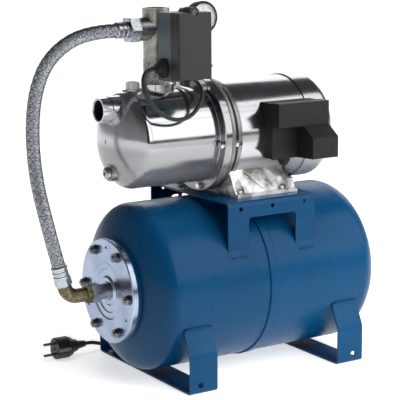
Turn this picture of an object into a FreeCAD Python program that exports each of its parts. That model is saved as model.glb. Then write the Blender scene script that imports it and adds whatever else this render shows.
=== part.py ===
import FreeCAD, Part
import math
import os

# Domestic water pump on a horizontal pressure tank. Millimetres. X runs along the tank and
# the pump shaft, +X towards the motor fan; the front faces -Y; the floor is z = 0 and the
# tank is centred on the origin.

# fits
RUN_GAP = 0.06
SEAT_GAP = 0.3

# tank
TANK_R = 135.0
TANK_LIFT = 11.0
TANK_Z = TANK_R + TANK_LIFT
TANK_WALL = 2.0
LAP = 9.5
DOME_RIGHT_X = 178.0
DOME_RIGHT_DEPTH = 62.0
DOME_LEFT_X = -176.0
DOME_LEFT_DEPTH = 52.0
SEAT_X = -224.0
NECK_R = 46.0

# counterflange, its coupling and the elbow
FLANGE_X = SEAT_X - 9.0
FLANGE_T = 3.0
STUD_PCR = 70.0
STUD_R = 4.0
FLANGE_R = STUD_PCR + 14.0
HUB_R = 15.0
HUB_BORE = 10.0
HUB_X0 = FLANGE_X - 31.0
ELBOW_SWEEP = 75.0
ELBOW_BEND_R = 22.0
ELBOW_BORE = 8.0
ELBOW_START = HUB_X0 - 22.0

# feet, bent from strip
FOOT_X = 143.5
FOOT_W = 50.0
FOOT_T = 3.0
FOOT_Y = TANK_R + 10.0
FOOT_BEND_Z = 60.0
LEG_HOLE_R = 5.0
LEG_HOLE_Z = 14.0
FLOOR_HOLE_R = 4.5
FLOOR_HOLE_Y = FOOT_Y - 27.0

# platform, bent from sheet
PLAT_X0 = -80.0
PLAT_X1 = 88.0
PLAT_Y = TANK_R - 16.5
PLAT_TOP = TANK_Z + TANK_R + 7.0
PLAT_T = 3.0
CUT_X0 = -41.0
CUT_X1 = 50.0
CUT_TOP = PLAT_TOP - 26.0
SIDE_HOLE_R = 3.5

# motor sleeve and shaft
JACKET_R = 85.0
JACKET_WALL = 2.0
JACKET_X0 = -30.0
JACKET_X1 = 116.0
COVER_R = JACKET_R + 1.8
COVER_LAP = 14.0
COVER_X1 = JACKET_X1 + 36.0
SHAFT_R = 8.5
NOSE_R = 7.0
CORE_SEAT_R = 11.0
BEARING_R = 20.0
BEARING_W = 12.0
BEARING_X0 = -43.5
ROTOR_R = 33.5
STATOR_BORE = 34.0
FAN_R = 66.0

# pump casing
BODY_R = 77.5
BODY_WALL = 2.0
BODY_END = -231.0
CROWN_R = 112.0
KNUCKLE_R = 24.0
RIM_X0 = -67.0
RIM_X1 = -57.0
PLATE_X = RIM_X1 - 1.5
PLATE_BACK = RIM_X1 + 3.3
RIM_R = BODY_R + 15.5
RIM_CLEAR = 3.0
MOTOR_CLEAR = 11.0
AXIS_Z = PLAT_TOP + max(RIM_R + RIM_CLEAR, JACKET_R + MOTOR_CLEAR)
BOLT_PCR = BODY_R + 7.5
BOLT_TURN = -6.0
NUT_FACE = -45.0
RIM_BOLT_R = 3.0
IMPELLER_R = BODY_R - 20.5
PORT_UP = BODY_R - 27.5
PORT_Z = AXIS_Z + PORT_UP
PORT_X = BODY_END - 11.0
PORT_R = 19.7
PORT_BORE = 15.15
OUTLET_X = -136.0
THREAD_R = 20.5
PRIME_X = -180.0
PRIME_BORE = 8.3
DRAIN_Z = AXIS_Z - PORT_UP
DRAIN_BORE = 6.5

# motor foot
SADDLE_R = JACKET_R + SEAT_GAP
FOOT_X0 = -26.0
FLANGE_CLEAR_R = JACKET_R + 1.4
POST_H = 22.0
RIB_H = 4.4
PAD_T = 5.0
FOOT_BOLT_R = 3.0
FOOT_Y1 = JACKET_R + 7.0
WALL_Y = JACKET_R - 21.0
FOOT_H = AXIS_Z - PLAT_TOP - math.sqrt(SADDLE_R ** 2 - WALL_Y ** 2) + 3.4
BOLT_Y = JACKET_R - 3.0
FOOT_BOLTS = [(x, y) for y in (-BOLT_Y, BOLT_Y) for x in (-34.0, 47.0)]

# terminal box on the front of the motor
BOX_X0 = 14.0
BOX_X1 = BOX_X0 + 98.0
BOX_Z0 = AXIS_Z - 37.0
BOX_Z1 = AXIS_Z + 53.0
BOX_Y = -JACKET_R - 15.0
LID_Y = BOX_Y - 22.0
LID_Z0 = AXIS_Z + 15.0
BLOCK_X0 = BOX_X0 + 48.0
BLOCK_Y = LID_Y - 25.0
WIRE_X = BOX_X0 + 46.0
WIRE_R = 9.0
GLAND_X = BOX_X0 + 32.0
GLAND_Y = BOX_Y + 10.0
CAPACITOR_R = 14.0

# fitting, gauge, switch and hose ends
HUB_Z = AXIS_Z + 171.0
RISER_Z0 = AXIS_Z + BODY_R - 2.0
RISER_HEX_Z = HUB_Z - 47.0
FITTING_TOP = HUB_Z + 33.0
HUB_END = OUTLET_X - 36.0
BRANCH_R = 9.5
BRANCH_BORE = 5.55
GAUGE_X = OUTLET_X + 81.0
GAUGE_Z = HUB_Z + 14.5
GAUGE_R = 26.2
GAUGE_BACK = 6.5
NEEDLE_REST = -135.0
SW_X0 = OUTLET_X - 26.0
SW_X1 = OUTLET_X + 31.0
SW_Z0 = HUB_Z - 75.0
SW_Z1 = HUB_Z + 29.5
SW_BACK = -49.0
SW_SPLIT = SW_BACK - 38.0
SW_FRONT = SW_SPLIT - 25.0
SW_COVER_Z0 = SW_Z0 + 4.0
EAR_Z = SW_Z0 - 2.5
EAR_FRONT = SW_FRONT + 11.0
TOP_EAR_Z = SW_Z1 + 0.6
TOP_EAR_FRONT = SW_FRONT + 3.0
TOP_EAR_R = 8.3
SCREW_R = 2.0
SW_GLAND_Z = SW_Z0 + 20.0
SW_GLAND_Y = SW_BACK - 18.0
NUT_END = HUB_END - 17.0
FERRULE_END = NUT_END - 20.0
FERRULE_R = 13.0
TAIL_R = 10.0
HOSE_D = 22.0
CORD_D = 6.6

PARTS = {}


def vec(x, y, z):
    return FreeCAD.Vector(x, y, z)


def outline(start, *steps):
    """Closed face in the x-z plane: each step is a point, or a pair (point on arc, end)."""
    edges = []
    here = start
    for step in steps + (start,):
        if isinstance(step[0], tuple):
            mid, end = step
            arc = Part.Arc(vec(here[0], 0, here[1]), vec(mid[0], 0, mid[1]), vec(end[0], 0, end[1]))
            edges.append(arc.toShape())
        else:
            end = step
            edges.append(Part.LineSegment(vec(here[0], 0, here[1]), vec(end[0], 0, end[1])).toShape())
        here = end
    return Part.Face(Part.Wire(edges))


def turned(face, z=0.0, y=0.0, x=0.0):
    """Solid of revolution of an x-z face about the X axis, moved to its place."""
    solid = face.revolve(vec(0, 0, 0), vec(1, 0, 0), 360)
    solid.translate(vec(x, y, z))
    return solid


def rod(start, way, r, length):
    return Part.makeCylinder(r, length, vec(*start), vec(*way))


def pipe(start, way, r_out, r_in, length):
    return rod(start, way, r_out, length).cut(rod(start, way, r_in, length))


def hexagon(start, way, across, length):
    """Hexagonal prism from a point along a direction."""
    way = vec(*way)
    way.normalize()
    side = vec(0, 0, 1).cross(way)
    if side.Length < 0.01:
        side = vec(1, 0, 0)
    side.normalize()
    up = way.cross(side)
    r = across / math.sqrt(3.0)
    pts = []
    for k in range(7):
        a = math.radians(60 * k)
        pts.append(vec(*start) + side * (r * math.cos(a)) + up * (r * math.sin(a)))
    return Part.Face(Part.makePolygon(pts)).extrude(way * length)


def box(x0, x1, y0, y1, z0, z1):
    return Part.makeBox(x1 - x0, y1 - y0, z1 - z0, vec(x0, y0, z0))


def union(shapes):
    shape = shapes[0].multiFuse(shapes[1:]) if len(shapes) > 1 else shapes[0]
    return shape.removeSplitter()


def section_x(points, x0, x1):
    """Prism along X from points in the y-z plane."""
    pts = [vec(x0, y, z) for y, z in points]
    pts.append(pts[0])
    return Part.Face(Part.makePolygon(pts)).extrude(vec(x1 - x0, 0, 0))


def mirrored_y(shape):
    return shape.mirror(vec(0, 0, 0), vec(0, 1, 0))


def mirrored_x(shape):
    return shape.mirror(vec(0, 0, 0), vec(1, 0, 0))


def around(angle_deg, r, z=0.0):
    """Point (y, z) at an angle seen from the left end: 0 is the front, 90 is up."""
    a = math.radians(angle_deg)
    return -r * math.cos(a), z + r * math.sin(a)


def cord_path(points, diameter, name):
    """Straight runs joined by tangent arcs; prints the arc radii."""
    pts = [vec(*p) for p in points]
    edges = []
    here = pts[0]
    radii = []
    for k in range(1, len(pts) - 1):
        a = pts[k - 1] - pts[k]
        b = pts[k + 1] - pts[k]
        run = min(a.Length, b.Length)
        a.normalize()
        b.normalize()
        half_turn = (math.pi - a.getAngle(b)) / 2.0
        cut = 0.45 * run
        radius = cut / math.tan(half_turn)
        radii.append(round(radius / diameter, 1))
        begin = pts[k] + a * cut
        end = pts[k] + b * cut
        bisector = a + b
        bisector.normalize()
        centre = pts[k] + bisector * (radius / math.cos(half_turn))
        mid = centre - bisector * radius
        edges.append(Part.LineSegment(here, begin).toShape())
        edges.append(Part.Arc(begin, mid, end).toShape())
        here = end
    edges.append(Part.LineSegment(here, pts[-1]).toShape())
    wire = Part.Wire(edges)
    print(name, "length %.0f" % wire.Length, "radii in diameters", radii)
    return wire


def cord_tube(points, diameter, name):
    wire = cord_path(points, diameter, name)
    way = vec(*points[1]) - vec(*points[0])
    circle = Part.Wire(Part.makeCircle(diameter / 2.0, vec(*points[0]), way))
    tube = wire.makePipeShell([circle], True, False)
    ideal = math.pi * diameter ** 2 / 4.0 * wire.Length
    print(name, "volume against section x length %.3f" % (tube.Volume / ideal))
    return tube


def ellipse_arc(x, depth, r, r_stop=0.0):
    """Quarter of a dome profile from the cylinder edge at x towards its end."""
    ell = Part.Ellipse(vec(x, 0, r), vec(x + depth, 0, 0), vec(x, 0, 0))
    stop = math.acos(r_stop / r)
    arc = Part.ArcOfEllipse(ell, 0.0, stop).toShape()
    end = vec(x + depth * math.sin(stop), 0, r * math.cos(stop))
    return arc, end


def line(a, b):
    return Part.LineSegment(a, b).toShape()


# tank
def shell_right():
    """Right half shell; its rim is joggled over the left half, as welded."""
    lap_in = TANK_R + 0.2
    lap_out = lap_in + TANK_WALL
    inner_r = TANK_R - TANK_WALL
    arc_out, tip_out = ellipse_arc(DOME_RIGHT_X, DOME_RIGHT_DEPTH, TANK_R)
    arc_in, tip_in = ellipse_arc(DOME_RIGHT_X, DOME_RIGHT_DEPTH - TANK_WALL, inner_r)
    p = [vec(DOME_RIGHT_X, 0, inner_r), vec(1.5, 0, inner_r), vec(1.5, 0, lap_in),
         vec(1.5 - LAP, 0, lap_in), vec(1.5 - LAP, 0, lap_out), vec(3, 0, lap_out),
         vec(6, 0, TANK_R), vec(DOME_RIGHT_X, 0, TANK_R)]
    edges = [line(a, b) for a, b in zip(p[:-1], p[1:])]
    edges += [arc_out, line(tip_out, tip_in), arc_in]
    shell = turned(Part.Face(Part.Wire(Part.__sortEdges__(edges))), TANK_Z)
    return shell.cut(rod((DOME_RIGHT_X, 0, TANK_Z), (1, 0, 0), 5.3, 80))


def shell_left():
    """Left half shell with the flat seat for the counterflange and the neck hole."""
    inner_r = TANK_R - TANK_WALL
    arc_out, tip_out = ellipse_arc(DOME_LEFT_X, -DOME_LEFT_DEPTH, TANK_R, 82.0)
    arc_in, tip_in = ellipse_arc(DOME_LEFT_X, -DOME_LEFT_DEPTH + TANK_WALL, inner_r, 80.0)
    p = [tip_out, vec(SEAT_X, 0, 77), vec(SEAT_X, 0, NECK_R),
         vec(SEAT_X + TANK_WALL, 0, NECK_R), vec(SEAT_X + TANK_WALL, 0, 75.5), tip_in]
    edges = [line(a, b) for a, b in zip(p[:-1], p[1:])]
    edges += [arc_in, line(vec(DOME_LEFT_X, 0, inner_r), vec(1.2, 0, inner_r)),
              line(vec(1.2, 0, inner_r), vec(1.2, 0, TANK_R)),
              line(vec(1.2, 0, TANK_R), vec(DOME_LEFT_X, 0, TANK_R)), arc_out]
    return turned(Part.Face(Part.Wire(Part.__sortEdges__(edges))), TANK_Z)


def bladder():
    """Rubber bag hanging in the tank, its rim clamped between seat and flange."""
    r = TANK_R - 17.0
    t = 2.0
    neck = NECK_R - 2.0
    left_out, left_end = ellipse_arc(DOME_LEFT_X + 4, -DOME_LEFT_DEPTH + 14, r, neck)
    left_in, left_end_in = ellipse_arc(DOME_LEFT_X + 4, -DOME_LEFT_DEPTH + 14 + t, r - t, neck - 4)
    right_out, right_end = ellipse_arc(DOME_RIGHT_X - 20, DOME_RIGHT_DEPTH - 15, r, 12.0)
    right_in, right_end_in = ellipse_arc(DOME_RIGHT_X - 20, DOME_RIGHT_DEPTH - 15 - t, r - t, 12.0)
    lip = SEAT_X - 5.7
    p = [left_end_in, vec(SEAT_X - 4, 0, neck - 4), vec(SEAT_X - 4, 0, 47.5), vec(lip, 0, 49.5),
         vec(lip, 0, 64), vec(SEAT_X - SEAT_GAP, 0, 64), vec(SEAT_X - SEAT_GAP, 0, neck), left_end]
    edges = [line(a, b) for a, b in zip(p[:-1], p[1:])]
    edges += [left_out, line(vec(DOME_LEFT_X + 4, 0, r), vec(DOME_RIGHT_X - 20, 0, r)), right_out,
              line(right_end, vec(right_end.x, 0, 0)),
              line(vec(right_end.x, 0, 0), vec(right_end_in.x, 0, 0)),
              line(vec(right_end_in.x, 0, 0), right_end_in), right_in,
              line(vec(DOME_RIGHT_X - 20, 0, r - t), vec(DOME_LEFT_X + 4, 0, r - t)), left_in]
    return turned(Part.Face(Part.Wire(Part.__sortEdges__(edges))), TANK_Z)


def counterflange():
    """Pressed plate with a skirt round its edge and a dished middle."""
    f = FLANGE_X
    t = FLANGE_T
    bore = HUB_R + SEAT_GAP
    face = outline((f, bore), (f, 21.0), (f + 3, 24.5), (f + 3, 34.0), (f + 1.5, 35.5),
                   (f + 1.5, 43.5), (f, 47.0), (f, FLANGE_R - 2.0),
                   ((f + 0.6, FLANGE_R - 0.6), (f + 2.0, FLANGE_R)), (f + 9.5, FLANGE_R),
                   (f + 9.5, FLANGE_R - 2.6), (f + t, FLANGE_R - 2.6), (f + t, 48.4),
                   (f + t + 1.5, 44.9), (f + t + 1.5, 37.0), (f + t + 3, 35.5),
                   (f + t + 3, 23.1), (f + t, 19.6), (f + t, bore))
    plate = turned(face, TANK_Z)
    for k in range(6):
        y, z = around(60 * k, STUD_PCR, TANK_Z)
        plate = plate.cut(rod((f - 1, y, z), (1, 0, 0), STUD_R + 0.4, 12))
    for k in range(3):
        y, z = around(90 + 120 * k, STUD_PCR, TANK_Z)
        plate = plate.cut(rod((f - 1, y, z), (1, 0, 0), 2.5, 12))
    return plate


def flange_bolts():
    """Six studs of the tank neck, each with its nut."""
    solids = []
    for k in range(6):
        y, z = around(60 * k, STUD_PCR, TANK_Z)
        stud = rod((FLANGE_X - 10.5, y, z), (1, 0, 0), STUD_R, SEAT_X - FLANGE_X + 10.2)
        nut = hexagon((FLANGE_X - 7.1, y, z), (1, 0, 0), 13.0, 6.8)
        washer = rod((FLANGE_X - 1.9, y, z), (1, 0, 0), 8.2, 1.6)
        solids.append(union([stud, nut, washer]))
    return Part.makeCompound(solids)


def flange_hub():
    """Steel coupling: hexagon at the elbow, waist, and the collar that sits in the flange."""
    start = (HUB_X0, 0, TANK_Z)
    nut = hexagon(start, (1, 0, 0), 2.0 * HUB_R - 1.5, 15.0)
    waist = rod(start, (1, 0, 0), HUB_R - 2.8, 38.0)
    collar = rod((HUB_X0 + 29.0, 0, TANK_Z), (1, 0, 0), HUB_R, 9.0)
    bore = rod((HUB_X0 - 1, 0, TANK_Z), (1, 0, 0), HUB_BORE, 40.0)
    return union([nut, waist, collar]).cut(bore)


def elbow_end():
    """End point and direction of the elbow's upper leg, in the x-z plane."""
    s = math.radians(ELBOW_SWEEP)
    x = ELBOW_START - ELBOW_BEND_R * math.sin(s)
    z = TANK_Z + ELBOW_BEND_R * (1 - math.cos(s))
    way = vec(-math.cos(s), 0, math.sin(s))
    return vec(x, 0, z), way


def elbow():
    """Brass bend from the flange hub up to the hose."""
    top, way = elbow_end()
    s = math.radians(ELBOW_SWEEP / 2.0)
    mid = vec(ELBOW_START - ELBOW_BEND_R * math.sin(s), 0, TANK_Z + ELBOW_BEND_R * (1 - math.cos(s)))
    bend = Part.Arc(vec(ELBOW_START, 0, TANK_Z), mid, top).toShape()
    last = line(top, top + way * 4.0)
    face = HUB_X0 - SEAT_GAP
    first = line(vec(face, 0, TANK_Z), vec(ELBOW_START, 0, TANK_Z))
    wire = Part.Wire([first, bend, last])
    swept = []
    for r in (11.5, ELBOW_BORE):
        circle = Part.makeCircle(r, vec(face, 0, TANK_Z), vec(-1, 0, 0))
        swept.append(wire.makePipeShell([Part.Wire(circle)], True, False))
    outer, inner = swept
    spigot = rod((face, 0, TANK_Z), (1, 0, 0), HUB_BORE - 0.05, 18.0)
    collar = hexagon((face - 8.2, 0, TANK_Z), (1, 0, 0), 26.0, 8.2)
    body = union([outer, spigot, collar])
    return body.cut(inner).cut(rod((face - 10.7, 0, TANK_Z), (1, 0, 0), ELBOW_BORE, 40))


def air_valve():
    """Charging valve in the middle of the right dome."""
    x = DOME_RIGHT_X + DOME_RIGHT_DEPTH
    face = outline((x - 8, 1.5), (x - 8, 5.0), (x + 0.3, 5.0), (x + 0.3, 9.0), (x + 4, 9.0),
                   (x + 4, 4.6), (x + 14, 4.6), (x + 16, 3.8), (x + 16, 1.5))
    return turned(face, TANK_Z)


def valve_cap():
    x = DOME_RIGHT_X + DOME_RIGHT_DEPTH
    face = outline((x + 5, 4.66), (x + 5, 8.0), (x + 17, 7.4), ((x + 19.2, 5.6), (x + 20, 3.0)),
                   (x + 20, 0.0), (x + 17, 0.0), (x + 17, 4.66))
    return turned(face, TANK_Z)


# feet and platform
def strip_section(points, t):
    """Strip of constant thickness bent along points, as a y-z outline with round bends."""
    left = []
    right = []
    n = len(points)
    for k, (y, z) in enumerate(points):
        normals = []
        for a, b in ((k - 1, k), (k, k + 1)):
            if a >= 0 and b < n:
                dy = points[b][0] - points[a][0]
                dz = points[b][1] - points[a][1]
                size = math.hypot(dy, dz)
                normals.append((-dz / size, dy / size))
        ny = sum(v[0] for v in normals)
        nz = sum(v[1] for v in normals)
        size = ny * ny + nz * nz
        scale = len(normals) / size
        left.append((y, z))
        right.append((y + ny * scale * t, z + nz * scale * t))
    return left + right[::-1]


def foot(x_mid):
    """Steel strip: flat on the floor, legs up at both ends, tops leaning to the tank."""
    x0 = x_mid - FOOT_W / 2.0
    x1 = x_mid + FOOT_W / 2.0
    reach = 1.0
    y_top, z_top = around(-21.6, TANK_R + FOOT_T + 0.35, TANK_Z)
    y_end, z_end = around(-19.4, TANK_R + FOOT_T + 0.35, TANK_Z)
    half = [(-FOOT_Y + 5.0, 0.0), (-FOOT_Y + 1.5, 1.5), (-FOOT_Y, 5.0), (-FOOT_Y, FOOT_BEND_Z - 4),
            (-FOOT_Y + reach, FOOT_BEND_Z + 3.0), (y_top, z_top), (y_end, z_end)]
    path = [(-y, z) for y, z in half[::-1]] + half
    strip = section_x(strip_section(path, -FOOT_T), x0, x1)
    strip = strip.cut(rod((x0 - 5, 0, TANK_Z), (1, 0, 0), TANK_R + SEAT_GAP, FOOT_W + 10))
    hole_x = x_mid + math.copysign(6.0, x_mid)
    strip = strip.cut(rod((hole_x, -FOOT_Y - 5, LEG_HOLE_Z), (0, 1, 0), LEG_HOLE_R, 2 * FOOT_Y + 10))
    for y in (-FLOOR_HOLE_Y, FLOOR_HOLE_Y):
        strip = strip.cut(rod((x_mid, y, -1), (0, 0, 1), FLOOR_HOLE_R, FOOT_T + 2))
    return strip


def slot(x, y, z, wide, long):
    """Round-ended slot along Y through a level plate."""
    half = (long - wide) / 2.0
    cuts = [box(x - wide / 2.0, x + wide / 2.0, y - half, y + half, z - 5, z + 5)]
    for s in (-1, 1):
        cuts.append(rod((x, y + s * half, z - 5), (0, 0, 1), wide / 2.0, 10))
    return union(cuts)


def platform():
    """Bent sheet with two cut-out side walls whose legs stand on the tank."""
    y0 = -PLAT_Y
    z_leg = TANK_Z + math.sqrt((TANK_R + SEAT_GAP) ** 2 - PLAT_Y ** 2)
    tab_turn = math.degrees(math.acos(PLAT_Y / (TANK_R + SEAT_GAP))) - 4.26
    y_tab, z_tab = around(tab_turn, TANK_R + 0.35, TANK_Z)
    half = [(y_tab, z_tab), (y0, z_leg + 0.6), (y0, PLAT_TOP - 7.0), (y0 + 2.0, PLAT_TOP - 2.0),
            (y0 + 7.0, PLAT_TOP)]
    path = half + [(-y, z) for y, z in half[::-1]]
    sheet = section_x(strip_section(path, -PLAT_T), PLAT_X0, PLAT_X1)
    whole = PLAT_X1 - PLAT_X0 + 10
    sheet = sheet.cut(rod((PLAT_X0 - 5, 0, TANK_Z), (1, 0, 0), TANK_R + SEAT_GAP, whole))
    gap = box(CUT_X0, CUT_X1, -PLAT_Y - 30, PLAT_Y + 30, TANK_Z, CUT_TOP)
    edges = [e for e in gap.Edges if abs(e.BoundBox.ZMin - CUT_TOP) < 0.01 and e.BoundBox.YLength > 50]
    sheet = sheet.cut(gap.makeFillet(6.0, edges))
    for x in (-56.0, 4.5, 65.5):
        sheet = sheet.cut(rod((x, -PLAT_Y - 5, PLAT_TOP - 11.2), (0, 1, 0), SIDE_HOLE_R, 2 * PLAT_Y + 10))
    for x, y in FOOT_BOLTS:
        sheet = sheet.cut(slot(x, y, PLAT_TOP, 8.8, 22.0))
    for y in (-40.0, 40.0):
        sheet = sheet.cut(slot(-62.0, y, PLAT_TOP, 10.0, 34.0))
    return sheet


# pump
def dish(r_shift, x_right):
    """Filled casing shape: dished end, round knuckle, straight side to x_right."""
    crown = CROWN_R - r_shift
    knuckle = KNUCKLE_R - r_shift
    side = BODY_R - r_shift
    xc = BODY_END + CROWN_R
    rk = BODY_R - KNUCKLE_R
    turn = math.asin(rk / (CROWN_R - KNUCKLE_R))
    xk = xc - (CROWN_R - KNUCKLE_R) * math.cos(turn)
    a = turn / 2.0
    b = (turn + math.pi / 2.0) / 2.0
    face = outline((xc - crown, 0.0), ((xc - crown * math.cos(a), crown * math.sin(a)),
                   (xc - crown * math.cos(turn), crown * math.sin(turn))),
                   ((xk - knuckle * math.cos(b), rk + knuckle * math.sin(b)), (xk, side)),
                   (x_right, side), (x_right, 0.0))
    return turned(face, AXIS_Z)


def pump_body():
    """Pressed stainless casing with its rim, outlet, filling and drain bosses."""
    top = AXIS_Z + BODY_R
    outer = dish(0.0, RIM_X1)
    inside = BODY_R - 17.5
    rim = turned(outline((RIM_X0 - 7, inside), (RIM_X0 - 2, BODY_R), ((RIM_X0 - 0.5, BODY_R + 0.4),
                 (RIM_X0, BODY_R + 1.2)), (RIM_X0, RIM_R - 1), ((RIM_X0 + 0.4, RIM_R - 0.3),
                 (RIM_X0 + 1.5, RIM_R)), (RIM_X1, RIM_R), (RIM_X1, inside)), AXIS_Z)
    outlet = rod((OUTLET_X, 0, AXIS_Z + inside), (0, 0, 1), THREAD_R + 7.0, top + 8 - AXIS_Z - inside)
    prime = rod((PRIME_X, 0, AXIS_Z + inside), (0, 0, 1), PRIME_BORE + 6.7, top + 1.5 - AXIS_Z - inside)
    drain = rod((BODY_END + 30, 0, DRAIN_Z), (-1, 0, 0), DRAIN_BORE + 6.5, 24.2)
    body = union([outer, rim, outlet, prime, drain]).cut(dish(BODY_WALL, RIM_X1 + 1))
    body = body.cut(rod((OUTLET_X, 0, AXIS_Z + 30), (0, 0, 1), THREAD_R + RUN_GAP, 80))
    body = body.cut(rod((PRIME_X, 0, AXIS_Z + 30), (0, 0, 1), PRIME_BORE + RUN_GAP, 80))
    body = body.cut(rod((BODY_END + 60, 0, DRAIN_Z), (-1, 0, 0), DRAIN_BORE + RUN_GAP, 80))
    body = body.cut(rod((BODY_END + 60, 0, PORT_Z), (-1, 0, 0), PORT_R + SEAT_GAP, 80))
    for k in range(5):
        y, z = around(72 * k + BOLT_TURN, BOLT_PCR, AXIS_Z)
        body = body.cut(rod((RIM_X0 - 3, y, z), (1, 0, 0), RIM_BOLT_R + SEAT_GAP, RIM_X1 - RIM_X0 + 6))
    return body


def suction_port():
    """Threaded suction tube welded in the upper half of the dished end."""
    tube = rod((PORT_X, 0, PORT_Z), (1, 0, 0), PORT_R, 34.0)
    collar = rod((PORT_X + 17, 0, PORT_Z), (1, 0, 0), PORT_R + 1.5, 30.0).cut(dish(-0.3, RIM_X0))
    port = union([tube, collar]).cut(rod((PORT_X - 1, 0, PORT_Z), (1, 0, 0), PORT_BORE, 60))
    lip = Part.makeCone(PORT_BORE + 2.0, PORT_BORE, 2.0, vec(PORT_X, 0, PORT_Z), vec(1, 0, 0))
    return port.cut(lip)


def priming_plug():
    z = AXIS_Z + BODY_R + 1.5 + SEAT_GAP
    head = rod((PRIME_X, 0, z), (0, 0, 1), 11.0, 11.0)
    for k in range(12):
        a = math.radians(30 * k)
        flute = rod((PRIME_X + 11.4 * math.cos(a), 11.4 * math.sin(a), z + 3.0), (0, 0, 1), 0.9, 10)
        head = head.cut(flute)
    head = head.cut(rod((PRIME_X, 0, z + 6.0), (0, 0, 1), 8.0, 10))
    head = head.cut(hexagon((PRIME_X, 0, z + 2.0), (0, 0, 1), 9.0, 10))
    stem = rod((PRIME_X, 0, z - 14), (0, 0, 1), PRIME_BORE, 15)
    return union([head, stem])


def drain_plug():
    x = BODY_END + 5.8 - SEAT_GAP
    face = outline((x, 0.0), (x, 10.0), (x - 4.0, 10.0), ((x - 6.6, 7.6), (x - 7.5, 4.6)),
                   (x - 7.5, 0.0))
    head = turned(face, DRAIN_Z).cut(hexagon((x - 9, 0, DRAIN_Z), (1, 0, 0), 6.0, 6.0))
    return union([head, rod((x - 1, 0, DRAIN_Z), (1, 0, 0), DRAIN_BORE, 14)])


def back_plate():
    """Steel disc that closes the casing behind the impeller."""
    face = outline((PLATE_X, 13.5), (PLATE_X, BODY_R - 3.5), (RIM_X1 + SEAT_GAP, BODY_R - 3.5),
                   (RIM_X1 + SEAT_GAP, RIM_R - 1.0), (PLATE_BACK, RIM_R - 1.0), (PLATE_BACK, 20.0),
                   (-50.5, 16.0), (-50.5, 10.0), (-52.5, 10.0), (-52.5, 13.5))
    plate = turned(face, AXIS_Z)
    for k in range(5):
        y, z = around(72 * k + BOLT_TURN, BOLT_PCR, AXIS_Z)
        plate = plate.cut(rod((-58, y, z), (1, 0, 0), RIM_BOLT_R + SEAT_GAP, 8))
    return plate


def seal_seat():
    x0 = PLATE_X + SEAT_GAP
    face = outline((x0, 9.4), (x0, 13.2), (x0 + 5.4, 13.2), (x0 + 5.4, 9.4))
    return turned(face, AXIS_Z)


def seal_rotor():
    face = outline((-65.5, NOSE_R), (-65.5, 12.5), (PLATE_X, 12.5), (PLATE_X, NOSE_R))
    return turned(face, AXIS_Z)


def body_oring():
    return Part.makeTorus(BODY_R - BODY_WALL - 2.7, 1.4, vec(PLATE_X - 1.8, 0, AXIS_Z), vec(1, 0, 0))


def diffuser():
    """Moulded cup round the impeller with its guide ribs."""
    end = PLATE_X - SEAT_GAP
    r = BODY_R - 9.5
    face = outline((-90.0, 16.5), (-90.0, 50.0), (-86.0, r), (end, r), (end, r - 3.5),
                   (-82.5, r - 3.5), (-85.0, 48.0), (-85.0, 16.5))
    cup = turned(face, AXIS_Z)
    ribs = []
    for k in range(8):
        rib = box(-84.9, -80.0, -1.0, 1.0, r - 8.5, r - 3.0)
        rib.rotate(vec(0, 0, 0), vec(1, 0, 0), 45 * k)
        rib.translate(vec(0, 0, AXIS_Z))
        ribs.append(rib)
    return union([cup] + ribs)


def venturi():
    """Ejector tube ahead of the impeller, narrow in the middle."""
    face = outline((-212.0, 14.0), (-212.0, 17.0), (-196.0, 17.0), (-186.0, 9.0), (-170.0, 9.0),
                   (-93.3, 15.0), (-93.3, 20.0), (-90.3, 20.0), (-90.3, 16.3), (-85.5, 16.3),
                   (-85.5, 12.0), (-91.0, 12.0), (-170.0, 6.0),
                   (-186.0, 6.0), (-196.0, 14.0))
    return turned(face, AXIS_Z)


def impeller():
    """Closed wheel: two shrouds with six curved vanes between them."""
    bore = NOSE_R + RUN_GAP
    hub = turned(outline((-78.5, bore), (-78.5, 11.0), (-74.0, 12.0), (-66.0, 14.0), (-66.0, bore)))
    rear = turned(outline((-68.5, 10.0), (-68.5, IMPELLER_R), (-66.0, IMPELLER_R), (-66.0, 10.0)))
    front = turned(outline((-83.0, 15.6), (-83.0, 18.5), (-80.0, 20.0), (-77.0, IMPELLER_R),
                           (-75.0, IMPELLER_R), (-77.6, 15.6)))
    vanes = []
    for k in range(6):
        outer = Part.makeCylinder(34.0, 12.0, vec(-78.9, 0, 30.0), vec(1, 0, 0))
        inner = Part.makeCylinder(32.0, 12.0, vec(-78.9, 0, 30.0), vec(1, 0, 0))
        keep = box(-80.0, -66.0, 0.0, 60.0, 0.0, 60.0)
        vane = outer.cut(inner).common(keep)
        vane = vane.common(Part.makeCylinder(IMPELLER_R - 0.5, 12.3, vec(-78.8, 0, 0), vec(1, 0, 0)))
        vane = vane.cut(Part.makeCylinder(20.0, 14.0, vec(-79.5, 0, 0), vec(1, 0, 0)))
        vane.rotate(vec(0, 0, 0), vec(1, 0, 0), 60 * k)
        vanes.append(vane)
    wheel = union([hub, rear, front] + vanes)
    wheel.translate(vec(0, 0, AXIS_Z))
    return wheel


def shaft():
    """Stepped shaft: impeller end with nut, two bearing seats and the fan seat."""
    x = JACKET_X1
    face = outline((-88.0, 0.0), (-88.0, 6.5), (-79.5, 6.5), (-79.5, 10.0), (-79.0, 10.0),
                   (-79.0, NOSE_R), (-47.0, NOSE_R), (-47.0, SHAFT_R), (-30.0, SHAFT_R),
                   (-30.0, CORE_SEAT_R), (x - 26, CORE_SEAT_R), (x - 26, SHAFT_R),
                   (x - 6, SHAFT_R), (x - 6, NOSE_R), (x + 22, NOSE_R), (x + 22, 0.0))
    return turned(face, AXIS_Z)


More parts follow.
